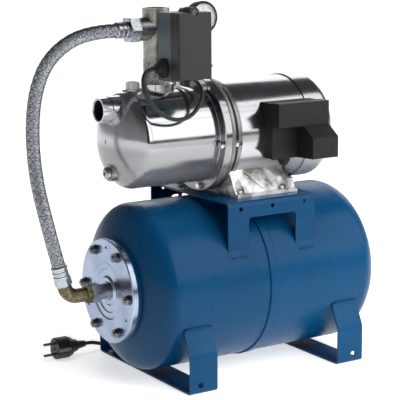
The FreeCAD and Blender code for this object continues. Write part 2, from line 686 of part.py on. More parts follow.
def bracket():
    """Cast bracket that carries the pump rim and the motor's front bearing."""
    x0 = PLATE_BACK + SEAT_GAP
    spigot = JACKET_R - JACKET_WALL - 0.4
    face = outline((x0, BODY_R - 5.5), (x0, RIM_R - 1.5), ((-52.8, RIM_R - 0.5), (-51.5, RIM_R)),
                   (-47.5, RIM_R), (-45.5, RIM_R - 2.0), (-45.5, BODY_R + 0.5), (-39.6, BODY_R - 0.5),
                   (-38.0, BODY_R + 1.5), (-38.0, JACKET_R + 1.0), (-31.0, JACKET_R + 1.0),
                   (-31.0, spigot), (-26.0, spigot), (-26.0, JACKET_R - 11.0), (-32.0, 70.0),
                   (-32.0, 28.0), (-28.0, BEARING_R + 4), (-28.0, BEARING_R + 0.05),
                   (BEARING_X0 - 0.2, BEARING_R + 0.05), (BEARING_X0 - 0.2, 11.0), (-47.0, 11.0),
                   (-47.0, 26.0), (-42.0, 32.0), (-42.0, BODY_R - 5.5))
    body = turned(face, AXIS_Z)
    for k in range(5):
        y, z = around(72 * k + BOLT_TURN, BOLT_PCR, AXIS_Z)
        body = body.cut(rod((-60, y, z), (1, 0, 0), RIM_BOLT_R + SEAT_GAP, 30))
    return body


def casing_bolts():
    solids = []
    for k in range(5):
        y, z = around(72 * k + BOLT_TURN, BOLT_PCR, AXIS_Z)
        stem = rod((RIM_X0 - SEAT_GAP, y, z), (1, 0, 0), RIM_BOLT_R, NUT_FACE + 3.0 - RIM_X0)
        head = hexagon((RIM_X0 - 6.3, y, z), (1, 0, 0), 10.0, 4.8)
        washer = rod((RIM_X0 - 1.9, y, z), (1, 0, 0), 6.0, 1.6)
        nut = hexagon((NUT_FACE, y, z), (1, 0, 0), 10.0, 4.8)
        solids.append(union([stem, head, washer, nut]))
    return Part.makeCompound(solids)


# motor
def motor_jacket():
    """Drawn steel sleeve round the stator."""
    tube = pipe((JACKET_X0, 0, AXIS_Z), (1, 0, 0), JACKET_R, JACKET_R - JACKET_WALL,
                JACKET_X1 - JACKET_X0)
    return tube.cut(rod((WIRE_X, -60, AXIS_Z), (0, -1, 0), WIRE_R, 40))


def stator():
    """Laminated core with slots open to the rotor."""
    inner = STATOR_BORE
    core = pipe((-2, 0, AXIS_Z), (1, 0, 0), JACKET_R - JACKET_WALL - 0.05, inner, 70.0)
    cuts = []
    for k in range(24):
        cuts.append(box(-3, 69, -2.2, 2.2, inner + 3, inner + 18))
        cuts.append(box(-3, 69, -0.9, 0.9, inner - 1, inner + 4))
        for c in cuts[-2:]:
            c.rotate(vec(0, 0, 0), vec(1, 0, 0), 15 * k)
            c.translate(vec(0, 0, AXIS_Z))
    return core.cut(Part.makeCompound(cuts))


def windings():
    """The two end turns of the winding, front and rear."""
    front = outline((-24.0, 40.0), ((-25.5, 50.0), (-22.0, 60.0)), (-2.3, 58.0), (-2.3, 38.0))
    rear = outline((90.0, 40.0), ((91.5, 50.0), (88.0, 60.0)), (68.3, 58.0), (68.3, 38.0))
    return Part.makeCompound([turned(front, AXIS_Z), turned(rear, AXIS_Z)])


def rotor():
    bore = CORE_SEAT_R + 0.05
    return pipe((-6.0, 0, AXIS_Z), (1, 0, 0), ROTOR_R, bore, 78.0)


def bearings():
    rings = []
    for x in (BEARING_X0, JACKET_X1 - 19.5):
        start = (x, 0, AXIS_Z)
        outer = pipe(start, (1, 0, 0), BEARING_R, 15.5, BEARING_W)
        inner = pipe(start, (1, 0, 0), 12.5, SHAFT_R + RUN_GAP, BEARING_W)
        web = pipe((x + 3, 0, AXIS_Z), (1, 0, 0), 16.0, 12.0, BEARING_W - 6)
        rings.append(union([outer, inner, web]))
    return Part.makeCompound(rings)


def rear_shield():
    """Motor end shield with the rear bearing seat."""
    x = JACKET_X1
    spigot = JACKET_R - JACKET_WALL - SEAT_GAP
    lip = JACKET_R - 0.4
    face = outline((x - 22, 70.0), (x - 22, spigot), (x + SEAT_GAP, spigot), (x + SEAT_GAP, lip),
                   (x + 3, lip), (x + 3, 70.0), (x - 2, 66.0), (x - 2, 11.5), (x - 7.2, 11.5),
                   (x - 7.2, BEARING_R + 0.05), (x - 20, BEARING_R + 0.05), (x - 20, 25.0),
                   (x - 8, 29.0), (x - 8, 66.0))
    return turned(face, AXIS_Z)


def fan():
    """Moulded fan with nine flat blades."""
    x = JACKET_X1 + 5.0
    bore = NOSE_R + 0.05
    hub = turned(outline((x, bore), (x, 14.0), (x + 17, 12.5), (x + 17, bore)))
    disc = turned(outline((x, 10.0), (x, FAN_R - 4), (x + 2, FAN_R - 4), (x + 2, 10.0)))
    blades = []
    for k in range(9):
        blade = box(x + 1, x + 16, -1.1, 1.1, 13.0, FAN_R)
        blade.rotate(vec(0, 0, 0), vec(1, 0, 0), 40 * k)
        blades.append(blade)
    wheel = union([hub, disc] + blades)
    wheel.translate(vec(0, 0, AXIS_Z))
    return wheel


def fan_cover():
    """Cup over the fan with rings of air slots in its end."""
    x0 = JACKET_X1 - COVER_LAP
    t = 1.4
    r = COVER_R
    x1 = COVER_X1
    b = 16.0
    s = math.sin(math.pi / 4)
    face = outline((x0, r - t), (x0, r), (x1 - b, r),
                   ((x1 - b + b * s, r - b + b * s), (x1, r - b)), (x1, 0.0), (x1 - t, 0.0),
                   (x1 - t, r - b), ((x1 - b + (b - t) * s, r - b + (b - t) * s), (x1 - b, r - t)))
    cup = turned(face, AXIS_Z)
    cuts = []
    for ring, count in ((24.0, 10), (38.0, 16), (52.0, 22)):
        for k in range(count):
            hole = box(x1 - 4, x1 + 2, -2.2, 2.2, ring - 4.5, ring + 4.5)
            hole.rotate(vec(0, 0, 0), vec(1, 0, 0), 360.0 / count * k)
            hole.translate(vec(0, 0, AXIS_Z))
            cuts.append(hole)
    return cup.cut(Part.makeCompound(cuts))


def wall_place(x, s, out):
    """Point on the slanted front wall: x along it, s up its slope, out from its face."""
    y0, z0 = -JACKET_R, PLAT_TOP + 8.0
    y1, z1 = -WALL_Y, PLAT_TOP + FOOT_H
    size = math.hypot(y1 - y0, z1 - z0)
    ty, tz = (y1 - y0) / size, (z1 - z0) / size
    return vec(x, y0 + ty * s - tz * out, z0 + tz * s + ty * out)


def motor_foot():
    """Cast foot: two slanted ribbed walls, a saddle under the jacket, bolted flanges."""
    base = PLAT_TOP + SEAT_GAP
    x0 = -46.0
    x1 = 72.0
    half = [(-FOOT_Y1, base), (-FOOT_Y1, base + PAD_T), (6.0 - FOOT_Y1, base + PAD_T + 1),
            (-WALL_Y, base + FOOT_H)]
    outer = half + [(-y, z) for y, z in half[::-1]]
    shape = section_x(outer, FOOT_X0 - 18, x1)
    for side in (-1, 1):
        shape = shape.cut(box(x1 - 13, x1 + 1, min(side * FOOT_Y1, side * (WALL_Y - 9)),
                              max(side * FOOT_Y1, side * (WALL_Y - 9)),
                              base + POST_H, base + FOOT_H + 17))
    post_y = 5.0 - FOOT_Y1
    post = box(x1 - 16, x1, post_y, 4.0 - WALL_Y, base, base + POST_H)
    corner = [e for e in post.Edges if e.BoundBox.ZLength > POST_H - 1 and e.BoundBox.YMax < post_y + 1]
    post = post.makeFillet(6.0, corner)
    shape = union([shape, post, mirrored_y(post)])
    half = [(15 - FOOT_Y1, base - 1), (15 - FOOT_Y1, base + 5), (2 - WALL_Y, base + FOOT_H - 13)]
    hollow = half + [(-y, z) for y, z in half[::-1]]
    start = (x0 - 30, 0, AXIS_Z)
    saddle = rod(start, (1, 0, 0), SADDLE_R, 220)
    inside = section_x(hollow, FOOT_X0 - 13, x1 - 5).cut(rod(start, (1, 0, 0), SADDLE_R + 4.5, 220))
    flange_room = rod(start, (1, 0, 0), FLANGE_CLEAR_R, JACKET_X0 - 0.5 - start[0])
    nuts_room = rod(start, (1, 0, 0), BOLT_PCR + 6.4, NUT_FACE + 5.4 - start[0])
    nuts_room = nuts_room.common(box(x0 - 44, NUT_FACE + 5.4, -45, 45, base - 8, base + 42))
    shape = shape.cut(inside).cut(saddle).cut(flange_room).cut(nuts_room)
    ribs = []
    for side in (1, -1):
        for xr in (-18.0, 4.0, 26.0):
            pts = [wall_place(xr, 34.0, -1.0), wall_place(xr + 4.5, 34.0, -1.0),
                   wall_place(xr + 30.5, 3.0, -1.0), wall_place(xr + 26.0, 3.0, -1.0)]
            pts.append(pts[0])
            out = wall_place(0, 0, 1.0) - wall_place(0, 0, 0.0)
            rib = Part.Face(Part.makePolygon(pts)).extrude(out * RIB_H)
            ribs.append(rib if side == 1 else mirrored_y(rib))
    shape = union([shape] + ribs).cut(saddle)
    for x, y in FOOT_BOLTS:
        shape = shape.cut(rod((x, y, base - 1), (0, 0, 1), FOOT_BOLT_R + 0.4, 20))
        shape = shape.cut(rod((x, y, base + PAD_T), (0, 0, 1), 7.6, 60))
    return shape


def foot_bolts():
    """Four bolts through the foot and the platform, nuts below."""
    solids = []
    top = PLAT_TOP + SEAT_GAP + PAD_T + SEAT_GAP
    for x, y in FOOT_BOLTS:
        head = hexagon((x, y, top + 1.6), (0, 0, 1), 10.0, 4.2)
        washer = rod((x, y, top), (0, 0, 1), 7.0, 1.7)
        stem = rod((x, y, PLAT_TOP - PLAT_T - 9), (0, 0, 1), FOOT_BOLT_R, top - PLAT_TOP + PLAT_T + 10)
        low = PLAT_TOP - PLAT_T - SEAT_GAP
        pad = rod((x, y, low - 1.6), (0, 0, 1), 7.0, 1.6)
        nut = hexagon((x, y, low - 6.6), (0, 0, 1), 10.0, 5.1)
        solids.append(union([head, washer, stem, pad, nut]))
    return Part.makeCompound(solids)


def terminal_base():
    """Moulded box shaped to the motor side, open to the front."""
    outer = box(BOX_X0 + 1, BOX_X1 - 1, BOX_Y, -30, BOX_Z0, BOX_Z1 - 1.5)
    inner = box(BOX_X0 + 4, BOX_X1 - 4, BOX_Y - 5, 2.5 - JACKET_R, BOX_Z0 + 3, BOX_Z1 - 4.5)
    shape = outer.cut(inner)
    shape = shape.cut(rod((BOX_X0 - 5, 0, AXIS_Z), (1, 0, 0), JACKET_R + SEAT_GAP, 200))
    shape = shape.cut(rod((JACKET_X1 - COVER_LAP - 0.5, 0, AXIS_Z), (1, 0, 0), COVER_R + SEAT_GAP, 60))
    shape = shape.cut(box(BOX_X0 - 5, BOX_X1 + 5, -45, 0, BOX_Z0 - 5, BOX_Z1 + 5))
    shape = shape.cut(rod((WIRE_X, -60, AXIS_Z), (0, -1, 0), WIRE_R, 60))
    return shape.cut(rod((GLAND_X, GLAND_Y, BOX_Z0 - 5), (0, 0, 1), 7.2, 15))


def terminal_lid():
    """Moulded lid: upper block, recessed lower panel and the forward housing block."""
    t = 2.5
    back = BOX_Y - SEAT_GAP
    upper = box(BOX_X0, BOX_X1, LID_Y, back, LID_Z0, BOX_Z1)
    panel = box(BOX_X0, BOX_X1, back - 4.0, back, BOX_Z0 - 0.5, LID_Z0 + 1)
    pts = [(back, BOX_Z0 - 0.5), (BLOCK_Y, BOX_Z0 + 1.5), (BLOCK_Y, LID_Z0 - 17), (LID_Y, LID_Z0 + 0.5),
           (back, LID_Z0 + 0.5)]
    block = section_x(pts, BLOCK_X0, BOX_X1)
    lid = union([upper, panel, block])
    hollow_upper = box(BOX_X0 + t, BOX_X1 - t, LID_Y + t, back + 5, LID_Z0 + t, BOX_Z1 - t)
    inner = [(back + 5, BOX_Z0 + 3), (BLOCK_Y + t, BOX_Z0 + 4), (BLOCK_Y + t, LID_Z0 - 18.6),
             (LID_Y + t, LID_Z0 - 2.0), (back + 5, LID_Z0 - 2.0)]
    hollow_block = section_x(inner, BLOCK_X0 + t, BOX_X1 - t)
    joined = box(BLOCK_X0 + t, BOX_X1 - t, LID_Y + t, back + 5, LID_Z0 - 3, LID_Z0 + 4)
    lid = lid.cut(union([hollow_upper, hollow_block, joined]))
    return lid


def capacitor():
    """Motor run capacitor lying in the upper block."""
    z = BOX_Z1 - 4.5 - SEAT_GAP - CAPACITOR_R
    body = rod((BOX_X0 + 10, BOX_Y - 3.5, z), (1, 0, 0), CAPACITOR_R, 66.0)
    tags = [box(BOX_X0 + 75.5, BOX_X0 + 84, BOX_Y - 4.0, BOX_Y - 3.0, z + dz - 2, z + dz + 2)
            for dz in (-2.2, 3.8)]
    return union([body] + tags)


def terminal_gland():
    """Cable gland under the terminal box."""
    z = BOX_Z0 - SEAT_GAP
    y = GLAND_Y
    stem = rod((GLAND_X, y, z - 5), (0, 0, 1), 7.0, 9.0)
    nut = hexagon((GLAND_X, y, z - 6), (0, 0, 1), 19.0, 6.0)
    dome = Part.makeCone(6.5, 9.0, 6.0, vec(GLAND_X, y, z - 12), vec(0, 0, 1))
    return union([stem, nut, dome])


# fitting group
def five_way():
    """Nickelled brass fitting: pump below, outlet above, hose left, switch, gauge."""
    x = OUTLET_X
    riser = rod((x, 0, RISER_HEX_Z), (0, 0, 1), THREAD_R, HUB_Z + 19.0 - RISER_HEX_Z)
    thread = rod((x, 0, RISER_Z0), (0, 0, 1), THREAD_R, RISER_HEX_Z + 0.5 - RISER_Z0)
    shoulder = turned(outline((0, 18.0), (0, 21.5), (2.0, 21.5), (2.0, 18.0)))
    shoulder.rotate(vec(0, 0, 0), vec(0, 1, 0), -90)
    shoulder.translate(vec(x, 0, RISER_HEX_Z - 1.5))
    head = rod((x, 0, FITTING_TOP - 16.5), (0, 0, 1), 21.3, 16.5)
    hub = rod((x, 0, HUB_Z), (-1, 0, 0), 18.3, x - HUB_END)
    front = rod((x, 0, HUB_Z), (0, -1, 0), BRANCH_R, 25.0)
    right = rod((x, 0, GAUGE_Z), (1, 0, 0), BRANCH_R, 25.5)
    body = union([riser, thread, head, hub, front, right, shoulder])
    body = body.cut(rod((x, 0, RISER_Z0 - 1), (0, 0, 1), 13.5, 140))
    body = body.cut(rod((x, 0, FITTING_TOP - 17), (0, 0, 1), PORT_BORE, 20))
    body = body.cut(rod((x, 0, HUB_Z), (-1, 0, 0), 9.0, 60))
    body = body.cut(rod((x, 0, HUB_Z), (0, -1, 0), BRANCH_BORE, 60))
    body = body.cut(rod((x, 0, GAUGE_Z), (1, 0, 0), BRANCH_BORE, 60))
    lip = Part.makeCone(PORT_BORE, PORT_BORE + 2.0, 2.0, vec(x, 0, FITTING_TOP - 2), vec(0, 0, 1))
    return body.cut(lip)


def gauge_case():
    """Round case with its bezel and the threaded stem to the fitting."""
    f = -13.0
    y = GAUGE_BACK
    face = outline((f, GAUGE_R - 4.0), (f, GAUGE_R - 0.8), (f + 1, GAUGE_R), (f + 6, GAUGE_R),
                   (f + 6, GAUGE_R - 1.5), (y - 2, GAUGE_R - 1.5), (y, GAUGE_R - 3.5), (y, 0.0),
                   (y - 1.5, 0.0), (y - 1.5, GAUGE_R - 3.5), (f + 2.0, GAUGE_R - 3.5),
                   (f + 2.0, GAUGE_R - 4.0))
    case = turned(face)
    case.rotate(vec(0, 0, 0), vec(0, 0, 1), 90)
    case.translate(vec(GAUGE_X, 0, GAUGE_Z))
    x_in = GAUGE_X - GAUGE_R + 2.6
    stem = rod((x_in, 0, GAUGE_Z), (-1, 0, 0), 5.5, x_in - (OUTLET_X + 17))
    neck = hexagon((OUTLET_X + 26, 0, GAUGE_Z), (1, 0, 0), 14.0, 12.0)
    neck2 = rod((OUTLET_X + 38, 0, GAUGE_Z), (1, 0, 0), 6.5, x_in - OUTLET_X - 38)
    return union([case, stem, neck, neck2])


def gauge_dial():
    plate = pipe((GAUGE_X, -9.0, GAUGE_Z), (0, 1, 0), GAUGE_R - 3.7, 1.6, 1.0)
    post = pipe((GAUGE_X, -9.0, GAUGE_Z), (0, 1, 0), 3.0, 1.6, 8.0)
    return union([plate, post])


def gauge_needle():
    """Pointer on its pivot, resting at the low end of the scale."""
    pivot = rod((0, -11.6, 0), (0, 1, 0), 1.55, 9.0)
    cap = rod((0, -10.9, 0), (0, 1, 0), 2.6, 1.0)
    face = outline((-1.5, -6.0), (1.5, -6.0), (0.4, 17.0), (-0.4, 17.0))
    blade = face.extrude(vec(0, 0.6, 0))
    blade.translate(vec(0, -10.7, 0))
    needle = union([pivot.common(box(-9, 9, -10.9, 5, -9, 9)), cap, blade])
    needle.rotate(vec(0, 0, 0), vec(0, 1, 0), NEEDLE_REST)
    needle.translate(vec(GAUGE_X, 0, GAUGE_Z))
    return needle


def gauge_lens():
    return rod((GAUGE_X, -12.9, GAUGE_Z), (0, 1, 0), GAUGE_R - 4.05, 1.2)


def switch_flange():
    """Pressed pressure chamber behind the switch with its threaded stem."""
    y = SW_BACK + SEAT_GAP
    face = outline((y, 0.0), (y, 22.0), (SW_BACK + 8.0, 22.0), (SW_BACK + 9.5, 20.0),
                   (SW_BACK + 9.5, 9.0), (-25.3, 9.0), (-25.3, 5.5), (-19.0, 5.5), (-19.0, 2.5),
                   (SW_BACK + 4.0, 2.5), (SW_BACK + 4.0, 0.0))
    body = turned(face)
    body.rotate(vec(0, 0, 0), vec(0, 0, 1), 90)
    body.translate(vec(OUTLET_X, 0, HUB_Z))
    return body


def switch_screw_places():
    """Height and front face of the upper and lower cover screws."""
    return ((EAR_Z, EAR_FRONT), (TOP_EAR_Z, TOP_EAR_FRONT))


def switch_base():
    """Moulded base of the pressure switch, open towards its cover."""
    outer = box(SW_X0, SW_X1, SW_SPLIT, SW_BACK, SW_Z0, SW_Z1)
    edges = [e for e in outer.Edges if abs(e.BoundBox.YLength - (SW_BACK - SW_SPLIT)) < 0.01]
    outer = outer.makeFillet(2.5, edges)
    inner = box(SW_X0 + 2.5, SW_X1 - 2.5, SW_SPLIT - 1, SW_BACK - 3, SW_COVER_Z0 + 1.5, SW_Z1 - 2.5)
    base = outer.cut(inner)
    for x in (SW_X0 - 1, SW_X1 - 4):
        base = base.cut(rod((x, SW_GLAND_Y, SW_GLAND_Z), (1, 0, 0), 10.3, 5))
    mid = (SW_X0 + SW_X1) / 2.0
    post = rod((mid, SW_SPLIT, TOP_EAR_Z), (0, 1, 0), TOP_EAR_R - 2.0, 14.0)
    ear = box(mid - 5, mid + 5, SW_SPLIT, SW_SPLIT + 14, EAR_Z - 4.5, SW_Z0 + 1)
    base = union([base, post, ear])
    for z in (EAR_Z, TOP_EAR_Z):
        base = base.cut(rod((mid, SW_SPLIT - 1, z), (0, 1, 0), SCREW_R + 0.1, 12.5))
    return base


def switch_works():
    """Contact block and lever frame inside the switch."""
    frame = box(SW_X0 + 8, SW_X1 - 8, SW_SPLIT + 4, SW_BACK - 3.3, SW_Z0 + 46, SW_Z0 + 60)
    block = box(SW_X0 + 6, SW_X1 - 6, SW_SPLIT - 6, SW_SPLIT + 6, SW_Z0 + 36, SW_Z0 + 52)
    spring = pipe((OUTLET_X + 10, SW_SPLIT - 12, HUB_Z), (0, 1, 0), 8.0, 6.0, 30)
    bar = box(SW_X0 + 8, SW_X1 - 8, SW_SPLIT + 12, SW_SPLIT + 17, SW_Z0 + 50, SW_Z0 + 90)
    return union([frame, block, bar, spring])


def switch_cover():
    """Front cover; its two screws sit in ears above and below its edges."""
    back = SW_SPLIT - SEAT_GAP
    outer = box(SW_X0 - 0.8, SW_X1 + 0.8, SW_FRONT, back, SW_COVER_Z0, SW_Z1 + 0.8)
    edges = [e for e in outer.Edges if abs(e.BoundBox.YMax - SW_FRONT) < 0.01 and e.BoundBox.YLength < 0.1]
    outer = outer.makeFillet(2.0, edges)
    inner = box(SW_X0 + 2.0, SW_X1 - 2.0, SW_FRONT + 2.2, SW_SPLIT + 1, SW_COVER_Z0 + 2.0, SW_Z1 - 2.0)
    cover = outer.cut(inner)
    mid = (SW_X0 + SW_X1) / 2.0
    post = rod((mid, TOP_EAR_FRONT, TOP_EAR_Z), (0, 1, 0), TOP_EAR_R, back - TOP_EAR_FRONT)
    ear = box(mid - 5.5, mid + 5.5, EAR_FRONT, back, EAR_Z - 5.5, SW_COVER_Z0 + 1)
    cover = union([cover, post, ear])
    for z, front in switch_screw_places():
        cover = cover.cut(rod((mid, front - 1, z), (0, 1, 0), SCREW_R + 0.3, 40))
        cover = cover.cut(rod((mid, SW_FRONT - 1, z), (0, 1, 0), 4.6, front + 4.0 - SW_FRONT))
    return cover


def switch_screws():
    solids = []
    mid = (SW_X0 + SW_X1) / 2.0
    for z, front in switch_screw_places():
        head = rod((mid, front - 0.4, z), (0, 1, 0), 4.2, 3.1)
        stem = rod((mid, front + 2, z), (0, 1, 0), SCREW_R, SW_SPLIT + 10 - front - 2)
        cross = union([box(mid - 2.6, mid + 2.6, front - 1, front + 1.0, z - 0.45, z + 0.45),
                       box(mid - 0.45, mid + 0.45, front - 1, front + 1.0, z - 2.6, z + 2.6)])
        solids.append(union([head, stem]).cut(cross))
    return Part.makeCompound(solids)


def switch_glands():
    """Rubber-sleeved glands in the two sides of the switch base."""
    face = outline((0.4, CORD_D / 2.0 + 0.3), (0.4, 15.0), (5.0, 15.0), (7.0, 13.0), (8.0, 10.5),
                   (15.0, 7.0), (15.0, CORD_D / 2.0 + 0.3))
    nut = turned(face).fuse(pipe((-3.5, 0, 0), (1, 0, 0), 10.0, CORD_D / 2.0 + 0.3, 4.5)).removeSplitter()
    right = nut.copy()
    right.translate(vec(SW_X1, SW_GLAND_Y, SW_GLAND_Z))
    left = mirrored_x(nut)
    left.translate(vec(SW_X0, SW_GLAND_Y, SW_GLAND_Z))
    return Part.makeCompound([left, right])


def union_nut():
    """Swivel nut of the hose on the fitting."""
    x = HUB_END - SEAT_GAP
    nut = hexagon((NUT_END + SEAT_GAP, 0, HUB_Z), (1, 0, 0), 37.0, x - NUT_END - SEAT_GAP)
    chamfer = turned(outline((NUT_END, 17.5), (NUT_END, 30.0), (NUT_END + 5, 30.0)), HUB_Z)
    nut = nut.cut(chamfer)
    return nut.cut(rod((NUT_END - 1, 0, HUB_Z), (1, 0, 0), TAIL_R + RUN_GAP, 30))


def crimp(length):
    """Ferrule outline along X from 0, with crimp grooves."""
    face = outline((0.0, 6.5), (0.0, FERRULE_R - 1.5), (1.5, FERRULE_R), (5.0, FERRULE_R),
                   (6.0, FERRULE_R - 1.2), (8.5, FERRULE_R - 1.2), (9.5, FERRULE_R),
                   (12.0, FERRULE_R), (13.0, FERRULE_R - 1.2), (15.5, FERRULE_R - 1.2),
                   (16.5, FERRULE_R), (length, FERRULE_R), (length, 6.5))
    return turned(face)


def ferrules():
    """The two crimped hose ends with their tails."""
    upper = crimp(NUT_END - FERRULE_END - SEAT_GAP)
    upper.translate(vec(FERRULE_END, 0, HUB_Z))
    tail = pipe((NUT_END - 1.0, 0, HUB_Z), (1, 0, 0), TAIL_R, 6.5, HUB_END - NUT_END + 0.7)
    upper = union([upper, tail])
    end, way = elbow_end()
    start = end + way * (4.0 + SEAT_GAP)
    low = crimp(21.0)
    nut = hexagon((21.0, 0, 0), (1, 0, 0), 24.0, 12.0).cut(rod((20, 0, 0), (1, 0, 0), 6.5, 20))
    low = union([low, nut])
    low.rotate(vec(0, 0, 0), vec(0, 1, 0), ELBOW_SWEEP)
    low.translate(start + way * 33.0)
    return Part.makeCompound([upper, low])


def hose_points():
    """Route of the hose; it bows to the rear, clear of a pipe in the suction port."""
    end, way = elbow_end()
    low = end + way * (4.0 + SEAT_GAP + 33.0)
    near = low + way * 70.0
    return [(FERRULE_END, 0, HUB_Z), (-252.0, 0, HUB_Z), (-294.9, 14.0, 535.7),
            (-323.7, 29.0, 496.7), (-336.6, 38.0, 431.5), (-337.5, 33.0, 343.7),
            (near.x, 0, near.z), (low.x, 0, low.z)]


MOTOR_LEAD = [(-177.0, -67.0, 500.0), (-187.5, -67.4, 500.0), (-198.0, -69.0, 494.2),
              (-203.5, -72.5, 483.0), (-203.0, -77.5, 467.0), (-195.0, -82.5, 448.0),
              (-178.0, -86.0, 430.5), (-154.0, -87.5, 421.0), (-129.0, -87.0, 424.0),
              (-109.0, -83.5, 440.0), (-97.0, -75.0, 458.5), (-93.0, -56.0, 472.0),
              (-91.0, -28.0, 476.5), (-88.0, 14.0, 477.0), (-81.0, 58.0, 470.0),
              (-62.0, 92.0, 446.0), (-30.0, 111.0, 408.0), (14.0, 118.0, 366.0),
              (54.0, 113.0, 332.0), (84.0, 90.0, 307.0), (99.0, 52.0, 293.5),
              (104.0, 14.0, 289.6), (100.0, -16.0, 290.5), (91.0, -40.0, 300.0),
              (81.5, -57.0, 310.0), (74.0, -70.0, 316.5), (64.5, -80.5, 320.5),
              (55.0, -87.0, 322.8), (49.4, -89.4, 325.0), (46.3, -89.9, 329.4),
              (46.0, -90.0, 334.4)]
MAINS_LEAD = [(-89.7, -67.0, 500.0), (-81.5, -66.8, 499.8), (-73.5, -61.5, 498.5),
              (-69.0, -51.0, 496.5), (-68.0, -36.0, 493.5), (-68.5, -8.0, 489.0),
              (-69.0, 28.0, 484.5), (-61.0, 66.0, 473.0), (-44.0, 98.0, 449.0),
              (-20.0, 124.0, 405.0), (-2.0, 142.0, 352.0), (6.0, 155.0, 295.0),
              (5.0, 164.0, 235.0), (-1.0, 171.0, 175.0), (-9.0, 177.0, 118.0),
              (-16.0, 183.0, 68.0), (-23.5, 192.0, 32.0), (-29.5, 206.5, 12.5),
              (-31.5, 222.0, 7.6)]
COIL_CENTRE = (-70.0, 232.0)
COIL_R = 38.0
COIL_BUNDLE = 7.3
MAINS_TAIL = [(-100.0, 207.0, 6.2), (-110.0, 195.0, 4.8), (-125.0, 181.0, 4.0),
              (-144.0, 165.5, 4.4), (-161.0, 153.0, 9.0), (-175.0, 145.5, 15.0),
              (-187.5, 143.0, 18.6), (-199.3, 143.0, 18.6)]
PLUG_AT = (-256.0, 143.0)
PLUG_Z = 18.6


def mains_coil():
    """Spare length of the mains cord, wound in a ring on the floor behind the tank."""
    x, y = COIL_CENTRE
    return Part.makeTorus(COIL_R, COIL_BUNDLE, vec(x, y, COIL_BUNDLE + 0.3), vec(0, 0, 1))


def plug():
    """Moulded two-pin plug body with side clip recesses and a tapered relief."""
    x = PLUG_AT[0]
    face = outline((x, 0.0), (x, 17.5), (x + 1.5, 18.3), (x + 22.0, 18.3), (x + 30.0, 15.0),
                   (x + 31.0, 12.0), (x + 40.0, 10.0), (x + 42.0, 7.5), (x + 56.7, 5.2),
                   (x + 56.7, 0.0))
    body = turned(face, PLUG_Z, PLUG_AT[1])
    for s in (-1, 1):
        body = body.cut(box(x - 1, x + 24, PLUG_AT[1] + s * 16.6 - 1.9, PLUG_AT[1] + s * 16.6 + 1.9,
                            PLUG_Z - 4.0, PLUG_Z + 4.0))
    socket = rod((x - 1, PLUG_AT[1], PLUG_Z), (1, 0, 0), 2.6, 16.0)
    body = body.cut(socket)
    for z in (-9.5, 9.5):
        body = body.cut(rod((x - 1, PLUG_AT[1], PLUG_Z + z), (1, 0, 0), 2.45, 14.0))
    return body


def plug_metal():
    """Two round pins and the two earth clips."""
    x = PLUG_AT[0]
    solids = []
    for z in (-9.5, 9.5):
        pin = rod((x - 18.5, PLUG_AT[1], PLUG_Z + z), (1, 0, 0), 2.4, 31.0)
        tip = Part.makeSphere(2.4, vec(x - 18.5, PLUG_AT[1], PLUG_Z + z))
        solids.append(union([pin, tip]))
    for s in (-1, 1):
        y = PLUG_AT[1] + s * 16.4
        solids.append(box(x + 0.5, x + 23.0, y - 0.6, y + 0.6, PLUG_Z - 3.2, PLUG_Z + 3.2))
    return Part.makeCompound(solids)


def export(name, shape):
    PARTS[name] = shape
    shape.exportStep("parts/" + name + ".step")


def build():
    os.makedirs("parts", exist_ok=True)
    makers = [shell_left, shell_right, bladder, counterflange, flange_bolts, flange_hub, elbow,
              air_valve, valve_cap, platform, pump_body, suction_port, priming_plug, drain_plug,
              back_plate, seal_seat, seal_rotor, body_oring, diffuser, venturi, impeller, shaft,
              bracket, casing_bolts, motor_jacket, stator, windings, rotor, bearings, rear_shield,
              fan, fan_cover, motor_foot, foot_bolts, terminal_base, terminal_lid, capacitor,
              terminal_gland, five_way, gauge_case, gauge_dial, gauge_needle, gauge_lens,
              switch_flange, switch_base, switch_works, switch_cover, switch_screws,
              switch_glands, union_nut, ferrules, mains_coil, plug, plug_metal]
    for maker in makers:
        export(maker.__name__, maker())
    export("foot_left", foot(-FOOT_X))
    export("foot_right", foot(FOOT_X))
    export("hose", cord_tube(hose_points(), HOSE_D, "hose"))
    export("motor_lead", cord_tube(MOTOR_LEAD, CORD_D, "motor_lead"))
    export("mains_lead", cord_tube(MAINS_LEAD, CORD_D, "mains_lead"))
    export("mains_tail", cord_tube(MAINS_TAIL, CORD_D, "mains_tail"))


build()
for name in sorted(PARTS):
    shape = PARTS[name]
    b = shape.BoundBox
    solids = len(shape.Solids)
    state = "ok" if shape.isValid() and solids else "BAD"
    print("%-16s %s solids %d vol %.0f  x %.1f..%.1f y %.1f..%.1f z %.1f..%.1f" % (
        name, state, solids, shape.Volume, b.XMin, b.XMax, b.YMin, b.YMax, b.ZMin, b.ZMax))
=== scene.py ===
import math

import bpy
import numpy as np
from mathutils import Matrix, Vector


